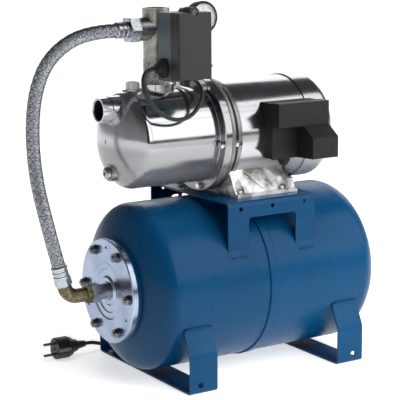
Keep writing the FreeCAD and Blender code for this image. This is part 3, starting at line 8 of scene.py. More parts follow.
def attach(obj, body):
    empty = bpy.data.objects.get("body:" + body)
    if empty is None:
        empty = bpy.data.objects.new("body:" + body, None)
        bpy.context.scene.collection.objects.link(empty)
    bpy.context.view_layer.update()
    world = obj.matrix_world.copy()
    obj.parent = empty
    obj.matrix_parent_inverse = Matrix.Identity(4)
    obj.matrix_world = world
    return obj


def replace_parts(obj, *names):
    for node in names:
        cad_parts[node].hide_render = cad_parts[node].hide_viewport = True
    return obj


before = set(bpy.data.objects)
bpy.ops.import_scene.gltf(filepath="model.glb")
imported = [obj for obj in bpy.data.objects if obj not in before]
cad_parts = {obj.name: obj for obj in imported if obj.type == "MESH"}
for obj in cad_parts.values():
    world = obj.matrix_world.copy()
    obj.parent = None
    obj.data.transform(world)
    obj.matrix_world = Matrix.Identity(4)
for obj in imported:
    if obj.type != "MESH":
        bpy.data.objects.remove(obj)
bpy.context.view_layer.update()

# Camera. It stands left of the front and a little above, as the photograph was taken with a
# long lens. The frame is the part's own: metres, X along the shaft, front at -Y.
azimuth = math.radians(-32.48)
elevation = math.radians(10.95)
roll = math.radians(-0.41)
back = Vector((math.sin(azimuth) * math.cos(elevation), -math.cos(azimuth) * math.cos(elevation),
               math.sin(elevation)))
right = Vector((math.cos(azimuth), math.sin(azimuth), 0.0))
up = back.cross(right)
tilted_right = right * math.cos(roll) + up * math.sin(roll)
tilted_up = up * math.cos(roll) - right * math.sin(roll)
camera = bpy.data.objects.new("camera", bpy.data.cameras.new("camera"))
camera.data.lens = 129.8
camera.data.sensor_width = 36.0
camera.data.clip_end = 100.0
camera.matrix_world = Matrix.Translation((-1.2969, -1.9484, 0.7200)) @ Matrix(
    (tilted_right, tilted_up, back)).transposed().to_4x4()
bpy.context.collection.objects.link(camera)
bpy.context.scene.camera = camera
bpy.context.scene.view_settings.view_transform = "Standard"


class Val:
    """A shader socket that takes part in ordinary arithmetic."""

    def __init__(self, tree, socket):
        self.tree = tree
        self.socket = socket

    def make(self, kind, inputs, out=0, **settings):
        """New node: inputs maps a socket's name or number to a plain value or a Val."""
        node = self.tree.nodes.new(kind)
        for key, value in settings.items():
            setattr(node, key, value)
        for key, value in inputs.items():
            if isinstance(value, Val):
                self.tree.links.new(value.socket, node.inputs[key])
            else:
                node.inputs[key].default_value = value
        return Val(self.tree, node.outputs[out])

    def math(self, operation, *values):
        inputs = {0: self}
        inputs.update({k + 1: v for k, v in enumerate(values)})
        return self.make("ShaderNodeMath", inputs, operation=operation)

    def __add__(self, other):
        return self.math("ADD", other)

    def __sub__(self, other):
        return self.math("SUBTRACT", other)

    def __mul__(self, other):
        return self.math("MULTIPLY", other)

    def ramp(self, low, high, to_low=0.0, to_high=1.0):
        """Smooth step from to_low below low to to_high above high."""
        return self.make("ShaderNodeMapRange", {0: self, 1: low, 2: high, 3: to_low, 4: to_high},
                         interpolation_type="SMOOTHSTEP")

    def vector(self, y, z):
        return self.make("ShaderNodeCombineXYZ", {0: self, 1: y, 2: z})

    def parts(self):
        return [self.make("ShaderNodeSeparateXYZ", {0: self}, out=k) for k in range(3)]

    def scaled(self, x, y, z):
        return self.make("ShaderNodeVectorMath", {0: self, 1: (x, y, z)}, operation="MULTIPLY")

    def noise(self, scale, detail=2.0, rough=0.5):
        """Noise from 0 to 1 at this many features per metre of the vector."""
        return self.make("ShaderNodeTexNoise",
                         {"Vector": self, "Scale": scale, "Detail": detail, "Roughness": rough})

    def mix(self, low, high):
        """Colour between low and high by this value."""
        return self.make("ShaderNodeMix", {0: self, 6: low, 7: high}, out=2, data_type="RGBA")


class Finish:
    """A material with one Principled shader and the object's own coordinates."""

    def __init__(self, name, **constants):
        self.mat = bpy.data.materials.new(name)
        self.mat.use_nodes = True
        self.tree = self.mat.node_tree
        self.shader = self.tree.nodes["Principled BSDF"]
        for key, value in constants.items():
            self.shader.inputs[key.replace("_", " ")].default_value = value
        coords = self.tree.nodes.new("ShaderNodeTexCoord")
        self.at = Val(self.tree, coords.outputs["Object"])
        self.x, self.y, self.z = self.at.parts()

    def put(self, socket, value):
        self.tree.links.new(value.socket, self.shader.inputs[socket])
        return self

    def bump(self, height, strength, distance):
        """Surface relief: distance is the height in metres of a full step of the value."""
        normal = self.at.make("ShaderNodeBump",
                              {"Height": height, "Strength": strength, "Distance": distance})
        return self.put("Normal", normal)

    def round_x(self, z):
        """Angle about an X axis at height z, and the distance from it."""
        dz = self.z - z
        return self.y.math("ARCTAN2", dz), (self.y * self.y + dz * dz).math("SQRT")


def wear(finish, low, high, scale=40.0):
    """Uneven roughness between two values."""
    finish.put("Roughness", finish.at.noise(scale, 4.0).ramp(0.35, 0.7, low, high))
    return finish


def tint(finish, scale, detail, low, high, socket="Base Color"):
    """Colour that drifts between two values."""
    finish.put(socket, finish.at.noise(scale, detail).mix((*low, 1), (*high, 1)))


def paint(node, finish):
    """Gives a CAD node its material."""
    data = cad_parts[node].data
    data.materials.clear()
    data.materials.append(finish.mat)


def mesh_piece(name, verts, faces, finish, smooth=True):
    """Object from vertices and quads or triangles."""
    mesh = bpy.data.meshes.new(name)
    mesh.from_pydata([tuple(v) for v in verts], [], [tuple(int(k) for k in f) for f in faces])
    mesh.validate()
    mesh.polygons.foreach_set("use_smooth", [smooth] * len(mesh.polygons))
    mesh.materials.append(finish.mat)
    mesh.update()
    piece = bpy.data.objects.new(name, mesh)
    bpy.context.collection.objects.link(piece)
    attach(piece, "set")
    return piece


def several(grids, closed=True):
    """Vertices and quads of many (u, v, 3) grids, each joined up in v when closed."""
    verts = []
    faces = []
    start = 0
    for grid in grids:
        grid = np.asarray(grid, dtype=float)
        nu, nv = grid.shape[:2]
        index = np.arange(nu * nv).reshape(nu, nv) + start
        if closed:
            index = np.hstack([index, index[:, :1]])
        faces.append(np.stack([index[:-1, :-1], index[1:, :-1], index[1:, 1:], index[:-1, 1:]],
                              axis=-1).reshape(-1, 4))
        verts.append(grid.reshape(-1, 3))
        start += nu * nv
    return np.vstack(verts), np.vstack(faces)


def grids_piece(name, grids, finish, smooth=True, closed=True):
    verts, faces = several(grids, closed)
    return mesh_piece(name, verts, faces, finish, smooth)


def frames_along(points):
    """Tangent and two sideways directions along a path, without twist."""
    points = np.asarray(points, dtype=float)
    tangent = np.gradient(points, axis=0)
    tangent /= np.linalg.norm(tangent, axis=1)[:, None]
    side = np.zeros_like(tangent)
    start = np.array((0.0, 1.0, 0.0))
    if abs(tangent[0] @ start) > 0.9:
        start = np.array((0.0, 0.0, 1.0))
    for k in range(len(points)):
        start = start - tangent[k] * (start @ tangent[k])
        start /= np.linalg.norm(start)
        side[k] = start
    return tangent, side, np.cross(tangent, side)


def tube(points, radius, turns=10):
    """Round tube grid along a path: centre + r (cos a side + sin a other)."""
    points = np.asarray(points, dtype=float)
    radius = np.broadcast_to(radius, (len(points),))
    _, side, other = frames_along(points)
    angle = np.linspace(0, 2 * math.pi, turns, endpoint=False)
    ring = (side[:, None, :] * np.cos(angle)[None, :, None]
            + other[:, None, :] * np.sin(angle)[None, :, None])
    return points[:, None, :] + ring * radius[:, None, None]


def turned(start, way, rows):
    """Grid about an axis: each row is (distance along it, radii at equal steps round it)."""
    way = Vector(way).normalized()
    side = way.orthogonal().normalized()
    other = way.cross(side)
    grid = []
    for along, radii in rows:
        row = []
        for k, radius in enumerate(radii):
            a = 2 * math.pi * k / len(radii)
            row.append(Vector(start) + way * along
                       + (side * math.cos(a) + other * math.sin(a)) * radius)
        grid.append(row)
    return grid


def washer(bore, radius, edge, start, way, thick=0.0016):
    """Flat washer, with a small break along both edges where edge isn't 0."""
    rim = [(0, radius), (thick, radius)]
    if edge:
        rim = [(0, radius - edge), (edge, radius), (thick - edge, radius), (thick, radius - edge)]
    return turned(start, way, [(along, [r] * 32) for along, r in [(0, bore), *rim, (thick, bore)]])


def saw(along, share, pitch):
    """Triangle wave from 1 through 0 to 1 once per pitch, wound by the share of a turn."""
    return abs(2 * ((along / pitch - share) % 1.0) - 1)


def bead(points, radius, pitch=0.0016, closed=False):
    """Weld bead grid: a tube whose radius ripples along its length."""
    points = np.asarray(points, dtype=float)
    steps = np.linalg.norm(np.diff(points, axis=0), axis=1)
    run = np.concatenate([[0.0], np.cumsum(steps)])
    count = max(8, int(run[-1] / (pitch / 5.0)))
    along = np.linspace(0, run[-1], count)
    path = np.stack([np.interp(along, run, points[:, k]) for k in range(3)], axis=1)
    ripple = 1.0 + 0.10 * np.abs(np.sin(math.pi * along / pitch)) + 0.05 * np.sin(along * 310.0)
    if not closed:
        ends = np.minimum(along, run[-1] - along) / (2.0 * radius)
        ripple = ripple * np.sqrt(np.clip(ends, 0.02, 1.0))
    return tube(path, radius * ripple, 8)


# Enamel: tank halves, feet and platform. Pressed and bent steel, welded, then powder coated in
# one blue; the coat is glossy with a faint orange peel.
enamel = Finish("blue_enamel", Coat_Weight=0.02, Coat_Roughness=0.08, Specular_IOR_Level=0.13)
tone = enamel.at.noise(3.0, 3.0)
enamel.put("Base Color", tone.ramp(0.3, 0.7).mix((0.0004, 0.036, 0.100, 1), (0.0006, 0.055, 0.142, 1)))
wear(enamel, 0.26, 0.38, 30.0)
enamel.bump(enamel.at.noise(260.0, 1.0), 0.12, 0.00005)
for node in ("shell_left", "shell_right", "foot_left", "foot_right", "platform"):
    paint(node, enamel)

# Weld beads under the enamel: round the lap of the two halves, along the tops of the feet and
# the tabs of the platform.
tank_z = 0.146
lap_x = -0.0086
lap_r = 0.1358
tab_r = 0.1362
angle = np.linspace(0, 2 * math.pi, 241)
lap = np.stack([np.full_like(angle, lap_x), lap_r * np.cos(angle), tank_z + lap_r * np.sin(angle)],
               axis=1)
beads = [bead(lap, 0.0015, closed=True)]
for x0, x1, degrees in ((-0.1685, -0.1185, -19.1), (0.1185, 0.1685, -19.1),
                        (-0.0795, -0.0415, 24.2), (0.0505, 0.0875, 24.2)):
    for side in (-1, 1):
        y = side * tab_r * math.cos(math.radians(degrees))
        z = tank_z + tab_r * math.sin(math.radians(degrees))
        beads.append(bead([(x0 + 0.003, y, z), (x1 - 0.003, y, z)], 0.0014))
grids_piece("weld_beads", beads, enamel)

# Counterflange: zinc plated pressed steel with a blue passivated sheen and the fine rings of
# its spinning; the tank neck's studs pass through it.
zinc = Finish("zinc_plate", Metallic=1.0)
_, radius = zinc.round_x(tank_z)
rings = (radius * 2600.0).math("SINE")
sheen = zinc.at.noise(22.0, 3.0)
zinc.put("Base Color", sheen.ramp(0.3, 0.7).mix((0.27, 0.33, 0.46, 1), (0.37, 0.43, 0.57, 1)))
zinc.put("Roughness", rings.ramp(-1.0, 1.0, 0.20, 0.28))
zinc.bump(rings, 0.10, 0.00003)
paint("counterflange", zinc)

# Plated fasteners: bright zinc with the slightly milky look of small plated parts.
plated = Finish("bright_plated", Metallic=1.0)
tint(plated, 500.0, 2.0, (0.50, 0.50, 0.52), (0.72, 0.72, 0.73))
wear(plated, 0.2, 0.38, 300.0)


def hex_grid(start, way, across, length, chamfer=0.0008, bore=0.0004):
    """Hexagonal prism with round-chamfered ends: radius = min(hexagon, cone at each end)."""
    land = across * 0.46
    free = math.inf
    stations = [(0.0, bore), (0.0, land), (chamfer * 0.5, free), (chamfer, free),
                (length / 2, free), (length - chamfer, free), (length - chamfer * 0.5, free),
                (length, land), (length, bore)]
    rows = []
    for along, limit in stations:
        cone = land + min(along, length - along) * 1.8
        radii = []
        for k in range(72):
            a = 2 * math.pi * k / 72
            flat = (across / 2) / math.cos((a % (math.pi / 3)) - math.pi / 6)
            radii.append(min(flat, limit, cone))
        rows.append((along, radii))
    return turned(start, way, rows)


def thread_grid(start, way, r, length, pitch, depth, sides=28):
    """Screw thread: radius = r - depth * saw, tapered at the far end and closed at both."""
    count = int(length / pitch * 6) + 1
    rows = [(0.0, [0.0] * sides)]
    for i in range(count):
        along = length * i / (count - 1)
        taper = max(0.0, pitch - (length - along)) / pitch * depth
        rows.append((along, [r - max(depth * saw(along, k / sides, pitch), taper)
                             for k in range(sides)]))
    rows.append((length, [0.0] * sides))
    return turned(start, way, rows)


def fastener_set(name, node, grids, finish=plated):
    """One object for a group of fasteners, in place of their plain node."""
    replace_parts(grids_piece(name, grids, finish, smooth=False), node)


# Tank flange studs: six M8 studs with washers and nuts round the flange, dark and oily.
dark_stud = Finish("dark_stud_steel", Metallic=1.0)
tint(dark_stud, 300.0, 2.0, (0.10, 0.105, 0.11), (0.27, 0.28, 0.30))
wear(dark_stud, 0.2, 0.36, 300.0)
stud_circle = 0.070
grids = []
for k in range(6):
    a = math.radians(60 * k)
    y = -stud_circle * math.cos(a)
    z = tank_z + stud_circle * math.sin(a)
    grids.append(washer(0.0041, 0.0082, 0.0003, (-0.2349, y, z), (1, 0, 0)))
    grids.append(hex_grid((-0.2415, y, z), (1, 0, 0), 0.013, 0.0066, bore=0.0039))
    grids.append(thread_grid((-0.2250, y, z), (-1, 0, 0), 0.0040, 0.0185, 0.00125, 0.0005))
fastener_set("flange_studs", "flange_bolts", grids, dark_stud)

# Flange coupling and the brass elbow screwed into it. The elbow is an old-gold casting, dull and
# slightly stained, with a machined hexagon.
turned_steel = Finish("turned_steel", Metallic=1.0, Base_Color=(0.40, 0.40, 0.41, 1))
tool_marks = (turned_steel.x * 9000.0).math("SINE")
turned_steel.put("Roughness", tool_marks.ramp(-1, 1, 0.2, 0.36))
paint("flange_hub", turned_steel)
bronze = Finish("dull_brass", Metallic=1.0)
stain = bronze.at.noise(160.0, 5.0, 0.6)
bronze.put("Base Color", stain.ramp(0.35, 0.65).mix((0.085, 0.070, 0.042, 1), (0.20, 0.168, 0.10, 1)))
wear(bronze, 0.28, 0.5, 120.0)
bronze.bump(bronze.at.noise(900.0, 3.0), 0.25, 0.00006)
paint("elbow", bronze)

# Stainless pump casing with its rim. Deep drawn and polished; the polish runs round the shaft
# axis, so highlights are drawn out along it.
axis_z = 0.384
polished = Finish("polished_stainless", Metallic=1.0)
theta, radius = polished.round_x(axis_z)
lines = polished.x.vector(theta * 0.02, radius).scaled(2600.0, 60.0, 300.0).noise(1.0, 3.0)
cloud = polished.at.noise(14.0, 3.0)
bright = cloud.ramp(0.3, 0.7).mix((0.47, 0.47, 0.49, 1), (0.55, 0.55, 0.57, 1))
# Painted shade: the casing's colour is darker below the shaft axis and darker again on the rim end, in
# place of the shade and dark reflections there.
painted_shade_mask = polished.z.ramp(axis_z - 0.014, axis_z + 0.006) * polished.x.ramp(-0.078, -0.072, 1.0, 0.35)
polished.put("Base Color", painted_shade_mask.mix((0.29, 0.29, 0.30, 1), bright))
below = polished.z.ramp(axis_z - 0.05, axis_z + 0.01, 0.13, 0.0)
dish = polished.x.ramp(-0.230, -0.216, 0.10, 0.0)
polished.put("Roughness", (lines * 0.5 + cloud * 0.5).ramp(0.3, 0.7, 0.09, 0.17) + below + dish)
polished.put("Metallic", polished.z.ramp(axis_z - 0.055, axis_z - 0.02, 0.62, 1.0))
polished.bump(lines, 0.12, 0.00003)
for node in ("pump_body", "back_plate"):
    paint(node, polished)

# Suction port: turned stainless outside; its bore is painted near black, a painted shade for the deep
# hole.
port_z = 0.434
port = Finish("port_steel", Metallic=1.0)
dz = port.z - port_z
bore_shade_edge = (port.y * port.y + dz * dz).math("SQRT").ramp(0.01525, 0.0165)
port.put("Base Color", bore_shade_edge.mix((0.012, 0.012, 0.013, 1), (0.52, 0.52, 0.54, 1)))
port.put("Roughness", bore_shade_edge * -0.45 + 0.62)
paint("suction_port", port)

# Welds of the casing: thin bright fusion seams round the outlet boss, the filling boss and the
# drain boss.
seam = Finish("fused_seam", Metallic=1.0)
tint(seam, 700.0, 3.0, (0.30, 0.28, 0.27), (0.52, 0.51, 0.50))
wear(seam, 0.25, 0.45, 500.0)
body_r = 0.0775
crown_r = 0.112
crown_x = -0.231 + crown_r
outlet_x = -0.136
filler_x = -0.180
drain_z = 0.334
beads = []
angle = np.linspace(0, 2 * math.pi, 181)
for x_mid, boss_r in ((outlet_x, 0.0278), (filler_x, 0.0153)):
    y = boss_r * np.sin(angle)
    z = axis_z + np.sqrt(body_r ** 2 - y ** 2)
    ring = np.stack([x_mid + boss_r * np.cos(angle), y, z], axis=1)
    beads.append(bead(ring, 0.0011, 0.0012, closed=True))
drain_r = 0.0132
y = drain_r * np.sin(angle)
z = drain_z + drain_r * np.cos(angle)
reach = crown_r ** 2 - y ** 2 - (z - axis_z) ** 2
ring = np.stack([crown_x - np.sqrt(reach), y, z], axis=1)
beads.append(bead(ring, 0.0009, 0.0012, closed=True))
grids_piece("casing_welds", beads, seam)

# Female thread inside the suction port and inside the outlet of the brass fitting: G1, eleven
# threads per inch.
G1_PITCH = 0.0254 / 11.0
G1_BORE = 0.01512
nickel = Finish("nickelled_brass", Metallic=1.0)
mottle = nickel.at.noise(70.0, 4.0, 0.6)
nickel.put("Base Color", mottle.ramp(0.3, 0.7).mix((0.25, 0.24, 0.215, 1), (0.43, 0.415, 0.38, 1)))
wear(nickel, 0.30, 0.44, 90.0)
nickel.bump(nickel.at.noise(800.0, 2.0), 0.10, 0.00004)


def inner_thread(start, way, length, depth=0.0011, sides=48):
    """Ridges standing inwards from a G1 bore: radius = bore - depth * (1 - saw)."""
    count = int(length / G1_PITCH * 8) + 1
    rows = []
    for i in range(count):
        along = length * i / (count - 1)
        rows.append((along, [G1_BORE - depth * (1 - saw(along, k / sides, G1_PITCH))
                             for k in range(sides)]))
    return turned(start, way, rows)


grids_piece("suction_thread", [inner_thread((-0.2395, 0, port_z), (1, 0, 0), 0.022)], port,
            smooth=False)
grids_piece("outlet_thread", [inner_thread((outlet_x, 0, 0.5855), (0, 0, -1), 0.010)], nickel,
            smooth=False)

# Nickelled fitting and air valve, turned plugs, and the crimped steel of nut and ferrules.
for node in ("five_way", "air_valve"):
    paint(node, nickel)
for node in ("priming_plug", "drain_plug"):
    paint(node, turned_steel)
crimped = Finish("crimped_steel", Metallic=1.0)
tint(crimped, 60.0, 2.0, (0.34, 0.36, 0.39), (0.50, 0.52, 0.56))
wear(crimped, 0.2, 0.34, 200.0)
for node in ("union_nut", "ferrules"):
    paint(node, crimped)

# Male thread between the pump and the brass fitting, sealed with white tape that shows in the
# thread.
tape = Finish("thread_tape")
frayed = tape.at.scaled(300.0, 300.0, 900.0).noise(1.0, 4.0)
tape.put("Base Color", frayed.ramp(0.42, 0.58).mix((0.26, 0.25, 0.23, 1), (0.52, 0.52, 0.50, 1)))
tape.put("Metallic", frayed.ramp(0.42, 0.52, 0.9, 0.0))
tape.put("Roughness", frayed.ramp(0.4, 0.6, 0.25, 0.6))
riser = thread_grid((outlet_x, 0, 0.4697), (0, 0, 1), 0.0215, 0.0365, G1_PITCH, 0.0011, 56)
grids_piece("riser_thread", [riser[1:-1]], tape, smooth=False)

# Five casing bolts that clamp the rim to the cast bracket.
bolt_circle = 0.085
grids = []
for k in range(5):
    a = math.radians(72 * k - 6)
    y = -bolt_circle * math.cos(a)
    z = axis_z + bolt_circle * math.sin(a)
    grids.append(washer(0.0031, 0.0060, 0.0002, (-0.0689, y, z), (1, 0, 0)))
    grids.append(hex_grid((-0.0733, y, z), (1, 0, 0), 0.010, 0.0046))
    grids.append(hex_grid((-0.0450, y, z), (1, 0, 0), 0.010, 0.0048, bore=0.0029))
    grids.append(thread_grid((-0.0690, y, z), (1, 0, 0), 0.0030, 0.0295, 0.001, 0.0004, 20))
fastener_set("rim_bolts", "casing_bolts", grids)

# Cast bracket and motor foot: pressure die cast aluminium, grainy where it is as cast and bright
# where it was cut.
# The bracket and rear shield take a darker copy of the aluminium than the foot: painted shade between
# the casing rim and the motor.
cast = Finish("cast_aluminium_shaded", Metallic=0.9)
grain = cast.at.noise(1500.0, 4.0, 0.6)
patch = cast.at.noise(25.0, 3.0)
cast.put("Base Color", patch.ramp(0.3, 0.7).mix((0.15, 0.148, 0.145, 1), (0.30, 0.295, 0.29, 1)))
cast.put("Roughness", patch.ramp(0.3, 0.7, 0.26, 0.42))
cast.bump(grain, 0.5, 0.00012)
for node in ("bracket", "rear_shield"):
    paint(node, cast)
foot_cast = Finish("cast_foot", Metallic=0.6)
grain = foot_cast.at.noise(1100.0, 4.0, 0.6)
patch = foot_cast.at.noise(40.0, 4.0)
foot_cast.put("Base Color", patch.ramp(0.35, 0.65).mix((0.34, 0.335, 0.33, 1), (0.86, 0.855, 0.85, 1)))
foot_cast.put("Roughness", patch.ramp(0.3, 0.7, 0.22, 0.36))
foot_cast.bump(grain, 0.4, 0.00012)
paint("motor_foot", foot_cast)

# Foot bolts through the platform: washer and head above, washer and nut below.
foot_top = 0.2936
grids = []
for x in (-0.034, 0.047):
    for y in (-0.082, 0.082):
        grids.append(washer(0.0031, 0.0070, 0.0002, (x, y, foot_top), (0, 0, 1)))
        grids.append(hex_grid((x, y, foot_top + 0.0016), (0, 0, 1), 0.010, 0.0042))
        grids.append(washer(0.0031, 0.0070, 0.0, (x, y, 0.2831), (0, 0, 1)))
        grids.append(hex_grid((x, y, 0.2781), (0, 0, 1), 0.010, 0.0048, bore=0.0029))
        grids.append(thread_grid((x, y, 0.2950), (0, 0, -1), 0.0030, 0.0190, 0.001, 0.0004, 20))
fastener_set("foot_bolt_set", "foot_bolts", grids)

# Motor sleeve and fan cover: polished stainless sheet, a little duller than the casing, with the
# polish running round it.
sleeve = Finish("motor_sleeve", Metallic=1.0)
theta, radius = sleeve.round_x(axis_z)
lines = sleeve.x.vector(theta * 0.02, radius).scaled(3400.0, 90.0, 300.0).noise(1.0, 4.0)
cloud = sleeve.at.noise(9.0, 3.0)
sleeve.put("Base Color", cloud.ramp(0.3, 0.7).mix((0.40, 0.40, 0.415, 1), (0.50, 0.50, 0.51, 1)))
low = sleeve.z.ramp(axis_z - 0.060, axis_z - 0.020, 1.0, 0.0)
sleeve.put("Roughness", lines.ramp(0.3, 0.7, 0.12, 0.22) + low * 0.25)
sleeve.put("Metallic", low * -0.5 + 1.0)
sleeve.bump(lines, 0.2, 0.00004)
for node in ("motor_jacket", "fan_cover"):
    paint(node, sleeve)

# Motor and pump insides: laminated core, copper windings, bearings, seal, moulded hydraulics.
core = Finish("laminated_core", Metallic=0.8, Base_Color=(0.20, 0.20, 0.21, 1), Roughness=0.45)
core.bump((core.x * 12000.0).math("SINE"), 0.4, 0.0001)
copper = Finish("wound_copper", Metallic=0.6, Roughness=0.35)
tint(copper, 600.0, 2.0, (0.35, 0.12, 0.05), (0.62, 0.26, 0.12))
moulded = Finish("moulded_hydraulics", Roughness=0.4)
tint(moulded, 20.0, 2.0, (0.55, 0.55, 0.52), (0.62, 0.62, 0.60))
carbon = Finish("seal_faces", Roughness=0.3)
tint(carbon, 300.0, 2.0, (0.04, 0.04, 0.045), (0.08, 0.08, 0.085))
for node, finish in (("stator", core), ("rotor", core), ("windings", copper), ("diffuser", moulded),
                     ("venturi", moulded), ("impeller", moulded), ("capacitor", moulded),
                     ("seal_rotor", carbon), ("seal_seat", carbon), ("bearings", turned_steel),
                     ("shaft", turned_steel)):
    paint(node, finish)

# Rubber: bladder and casing ring.
rubber = Finish("soft_rubber", Roughness=0.6)
tint(rubber, 30.0, 3.0, (0.020, 0.020, 0.020), (0.035, 0.034, 0.033))
for node in ("bladder", "body_oring"):
    paint(node, rubber)

# Black mouldings: terminal box, fan, valve cap, gauge case, glands. Fine spark-eroded grain.
black = Finish("black_moulding", Specular_IOR_Level=0.22)
grain = black.at.noise(2600.0, 2.0)
tint(black, 15.0, 2.0, (0.007, 0.007, 0.0075), (0.011, 0.011, 0.0115))
black.put("Roughness", grain.ramp(0.3, 0.7, 0.44, 0.58))
black.bump(grain, 0.3, 0.00008)
for node in ("terminal_base", "terminal_lid", "fan", "valve_cap", "gauge_case", "terminal_gland"):
    paint(node, black)

# Pressure switch: dark grey-green cover over a blue-grey base, both satin mouldings.
cover_grey = Finish("switch_cover_moulding", Specular_IOR_Level=0.3)
grain = cover_grey.at.noise(2200.0, 2.0)
tint(cover_grey, 12.0, 2.0, (0.012, 0.0145, 0.0115), (0.017, 0.0195, 0.0165))
cover_grey.put("Roughness", grain.ramp(0.3, 0.7, 0.40, 0.52))
cover_grey.bump(grain, 0.25, 0.00006)
base_grey = Finish("switch_base_moulding", Specular_IOR_Level=0.4)
grain = base_grey.at.noise(2200.0, 2.0)
tint(base_grey, 12.0, 2.0, (0.040, 0.062, 0.070), (0.055, 0.078, 0.086))
base_grey.put("Roughness", grain.ramp(0.3, 0.7, 0.36, 0.5))
base_grey.bump(grain, 0.25, 0.00006)
paint("switch_cover", cover_grey)
paint("switch_base", base_grey)
paint("switch_glands", black)
for node in ("switch_flange", "switch_works"):
    paint(node, zinc)
screw_steel = Finish("switch_screw_steel", Metallic=1.0, Roughness=0.4)
tint(screw_steel, 400.0, 2.0, (0.10, 0.10, 0.10), (0.20, 0.20, 0.20))
paint("switch_screws", screw_steel)

# Gauge: printed dial with ticks and plain numbers, a black pointer and a clear window.
dial = Finish("dial_face", Roughness=0.5)
tint(dial, 8.0, 2.0, (0.80, 0.76, 0.76), (0.86, 0.83, 0.82))
paint("gauge_dial", dial)
ink = Finish("dial_ink", Roughness=0.5)
tint(ink, 900.0, 2.0, (0.01, 0.01, 0.01), (0.03, 0.03, 0.03))
paint("gauge_needle", ink)
window = Finish("clear_window", Transmission_Weight=1.0, IOR=1.45, Roughness=0.02)
tint(window, 5.0, 1.0, (0.96, 0.97, 0.98), (0.99, 0.99, 1.0))
paint("gauge_lens", window)
gauge_x = -0.055
gauge_z = 0.5695
dial_y = -0.00912
SEGMENTS = {"0": "abcdef", "1": "bc", "2": "abged", "3": "abgcd", "4": "fgbc", "5": "afgcd",
            "6": "afgedc", "7": "abc", "8": "abcdefg"}
STROKES = {"a": ((-1, 2), (1, 2)), "b": ((1, 2), (1, 0)), "c": ((1, 0), (1, -2)),
           "d": ((-1, -2), (1, -2)), "e": ((-1, 0), (-1, -2)), "f": ((-1, 2), (-1, 0)),
           "g": ((-1, 0), (1, 0))}


def stroke(x0, z0, x1, z1, width):
    """Flat bar on the dial between two points in its plane."""
    run = math.hypot(x1 - x0, z1 - z0)
    nx = -(z1 - z0) / run * width / 2
    nz = (x1 - x0) / run * width / 2
    corners = ((x0 + nx, z0 + nz), (x0 - nx, z0 - nz), (x1 - nx, z1 - nz), (x1 + nx, z1 + nz))
    return [(gauge_x + x, dial_y, gauge_z + z) for x, z in corners]


TICKS = 40
TICK_END = 0.0198
NUMBER_R = 0.0133
HALF_WIDE = 0.0008
HALF_HIGH = 0.0009
bars = []
for k in range(TICKS + 1):
    a = math.radians(-135 + 270 * k / TICKS)
    inner, width = (0.0165, 0.0005) if k % 5 == 0 else (0.0183, 0.0003)
    bars.append(stroke(inner * math.sin(a), inner * math.cos(a),
                       TICK_END * math.sin(a), TICK_END * math.cos(a), width))
for k in range(9):
    a = math.radians(-135 + 270 * k / 8)
    cx = NUMBER_R * math.sin(a)
    cz = NUMBER_R * math.cos(a)
    for name in SEGMENTS[str(k)]:
        (ax, az), (bx, bz) = STROKES[name]
        bars.append(stroke(cx + ax * HALF_WIDE, cz + az * HALF_HIGH,
                           cx + bx * HALF_WIDE, cz + bz * HALF_HIGH, 0.0004))
verts = [corner for bar in bars for corner in bar]
faces = [(4 * k, 4 * k + 1, 4 * k + 2, 4 * k + 3) for k in range(len(bars))]
mesh_piece("dial_marks", verts, faces, ink, smooth=False)

# Cords: one smooth black sheath each. The motor lead runs from the switch's left gland in a loop
# before the casing, back under the switch and round behind the motor to the terminal box.
sheath = Finish("cord_sheath", Specular_IOR_Level=0.38)
tint(sheath, 60.0, 3.0, (0.005, 0.007, 0.0055), (0.009, 0.012, 0.010))
wear(sheath, 0.30, 0.42, 200.0)
CORD_D = 0.0066


def nurbs(name, points, resolution=12):
    """One open NURBS spline of order 3 through a given route."""
    data = bpy.data.curves.new(name, "CURVE")
    data.dimensions = "3D"
    data.resolution_u = resolution
    spline = data.splines.new("NURBS")
    spline.points.add(len(points) - 1)
    for point, place in zip(spline.points, points):
        point.co = (*place, 1.0)
    spline.order_u = 3
    spline.use_endpoint_u = True
    return data


def cord_curve(name, points):
    """Round cord along a route, with closed ends."""
    data = nurbs(name, points)
    data.bevel_depth = CORD_D / 2
    data.bevel_resolution = 5
    data.use_fill_caps = True
    data.materials.append(sheath.mat)
    piece = bpy.data.objects.new(name, data)
    bpy.context.collection.objects.link(piece)
    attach(piece, "set")
    return piece


def spline_points(points, resolution=12):
    """Points on the same NURBS spline, for lengths and for meshes that follow it."""
    data = nurbs("route", points, resolution)
    holder = bpy.data.objects.new("route", data)
    mesh = bpy.data.meshes.new_from_object(holder)
    route = np.empty(len(mesh.vertices) * 3)
    mesh.vertices.foreach_get("co", route)
    bpy.data.meshes.remove(mesh)
    bpy.data.objects.remove(holder)
    bpy.data.curves.remove(data)
    return route.reshape(-1, 3)


def path_length(points):
    """Length of a polyline in metres."""
    return float(np.linalg.norm(np.diff(np.asarray(points), axis=0), axis=1).sum())


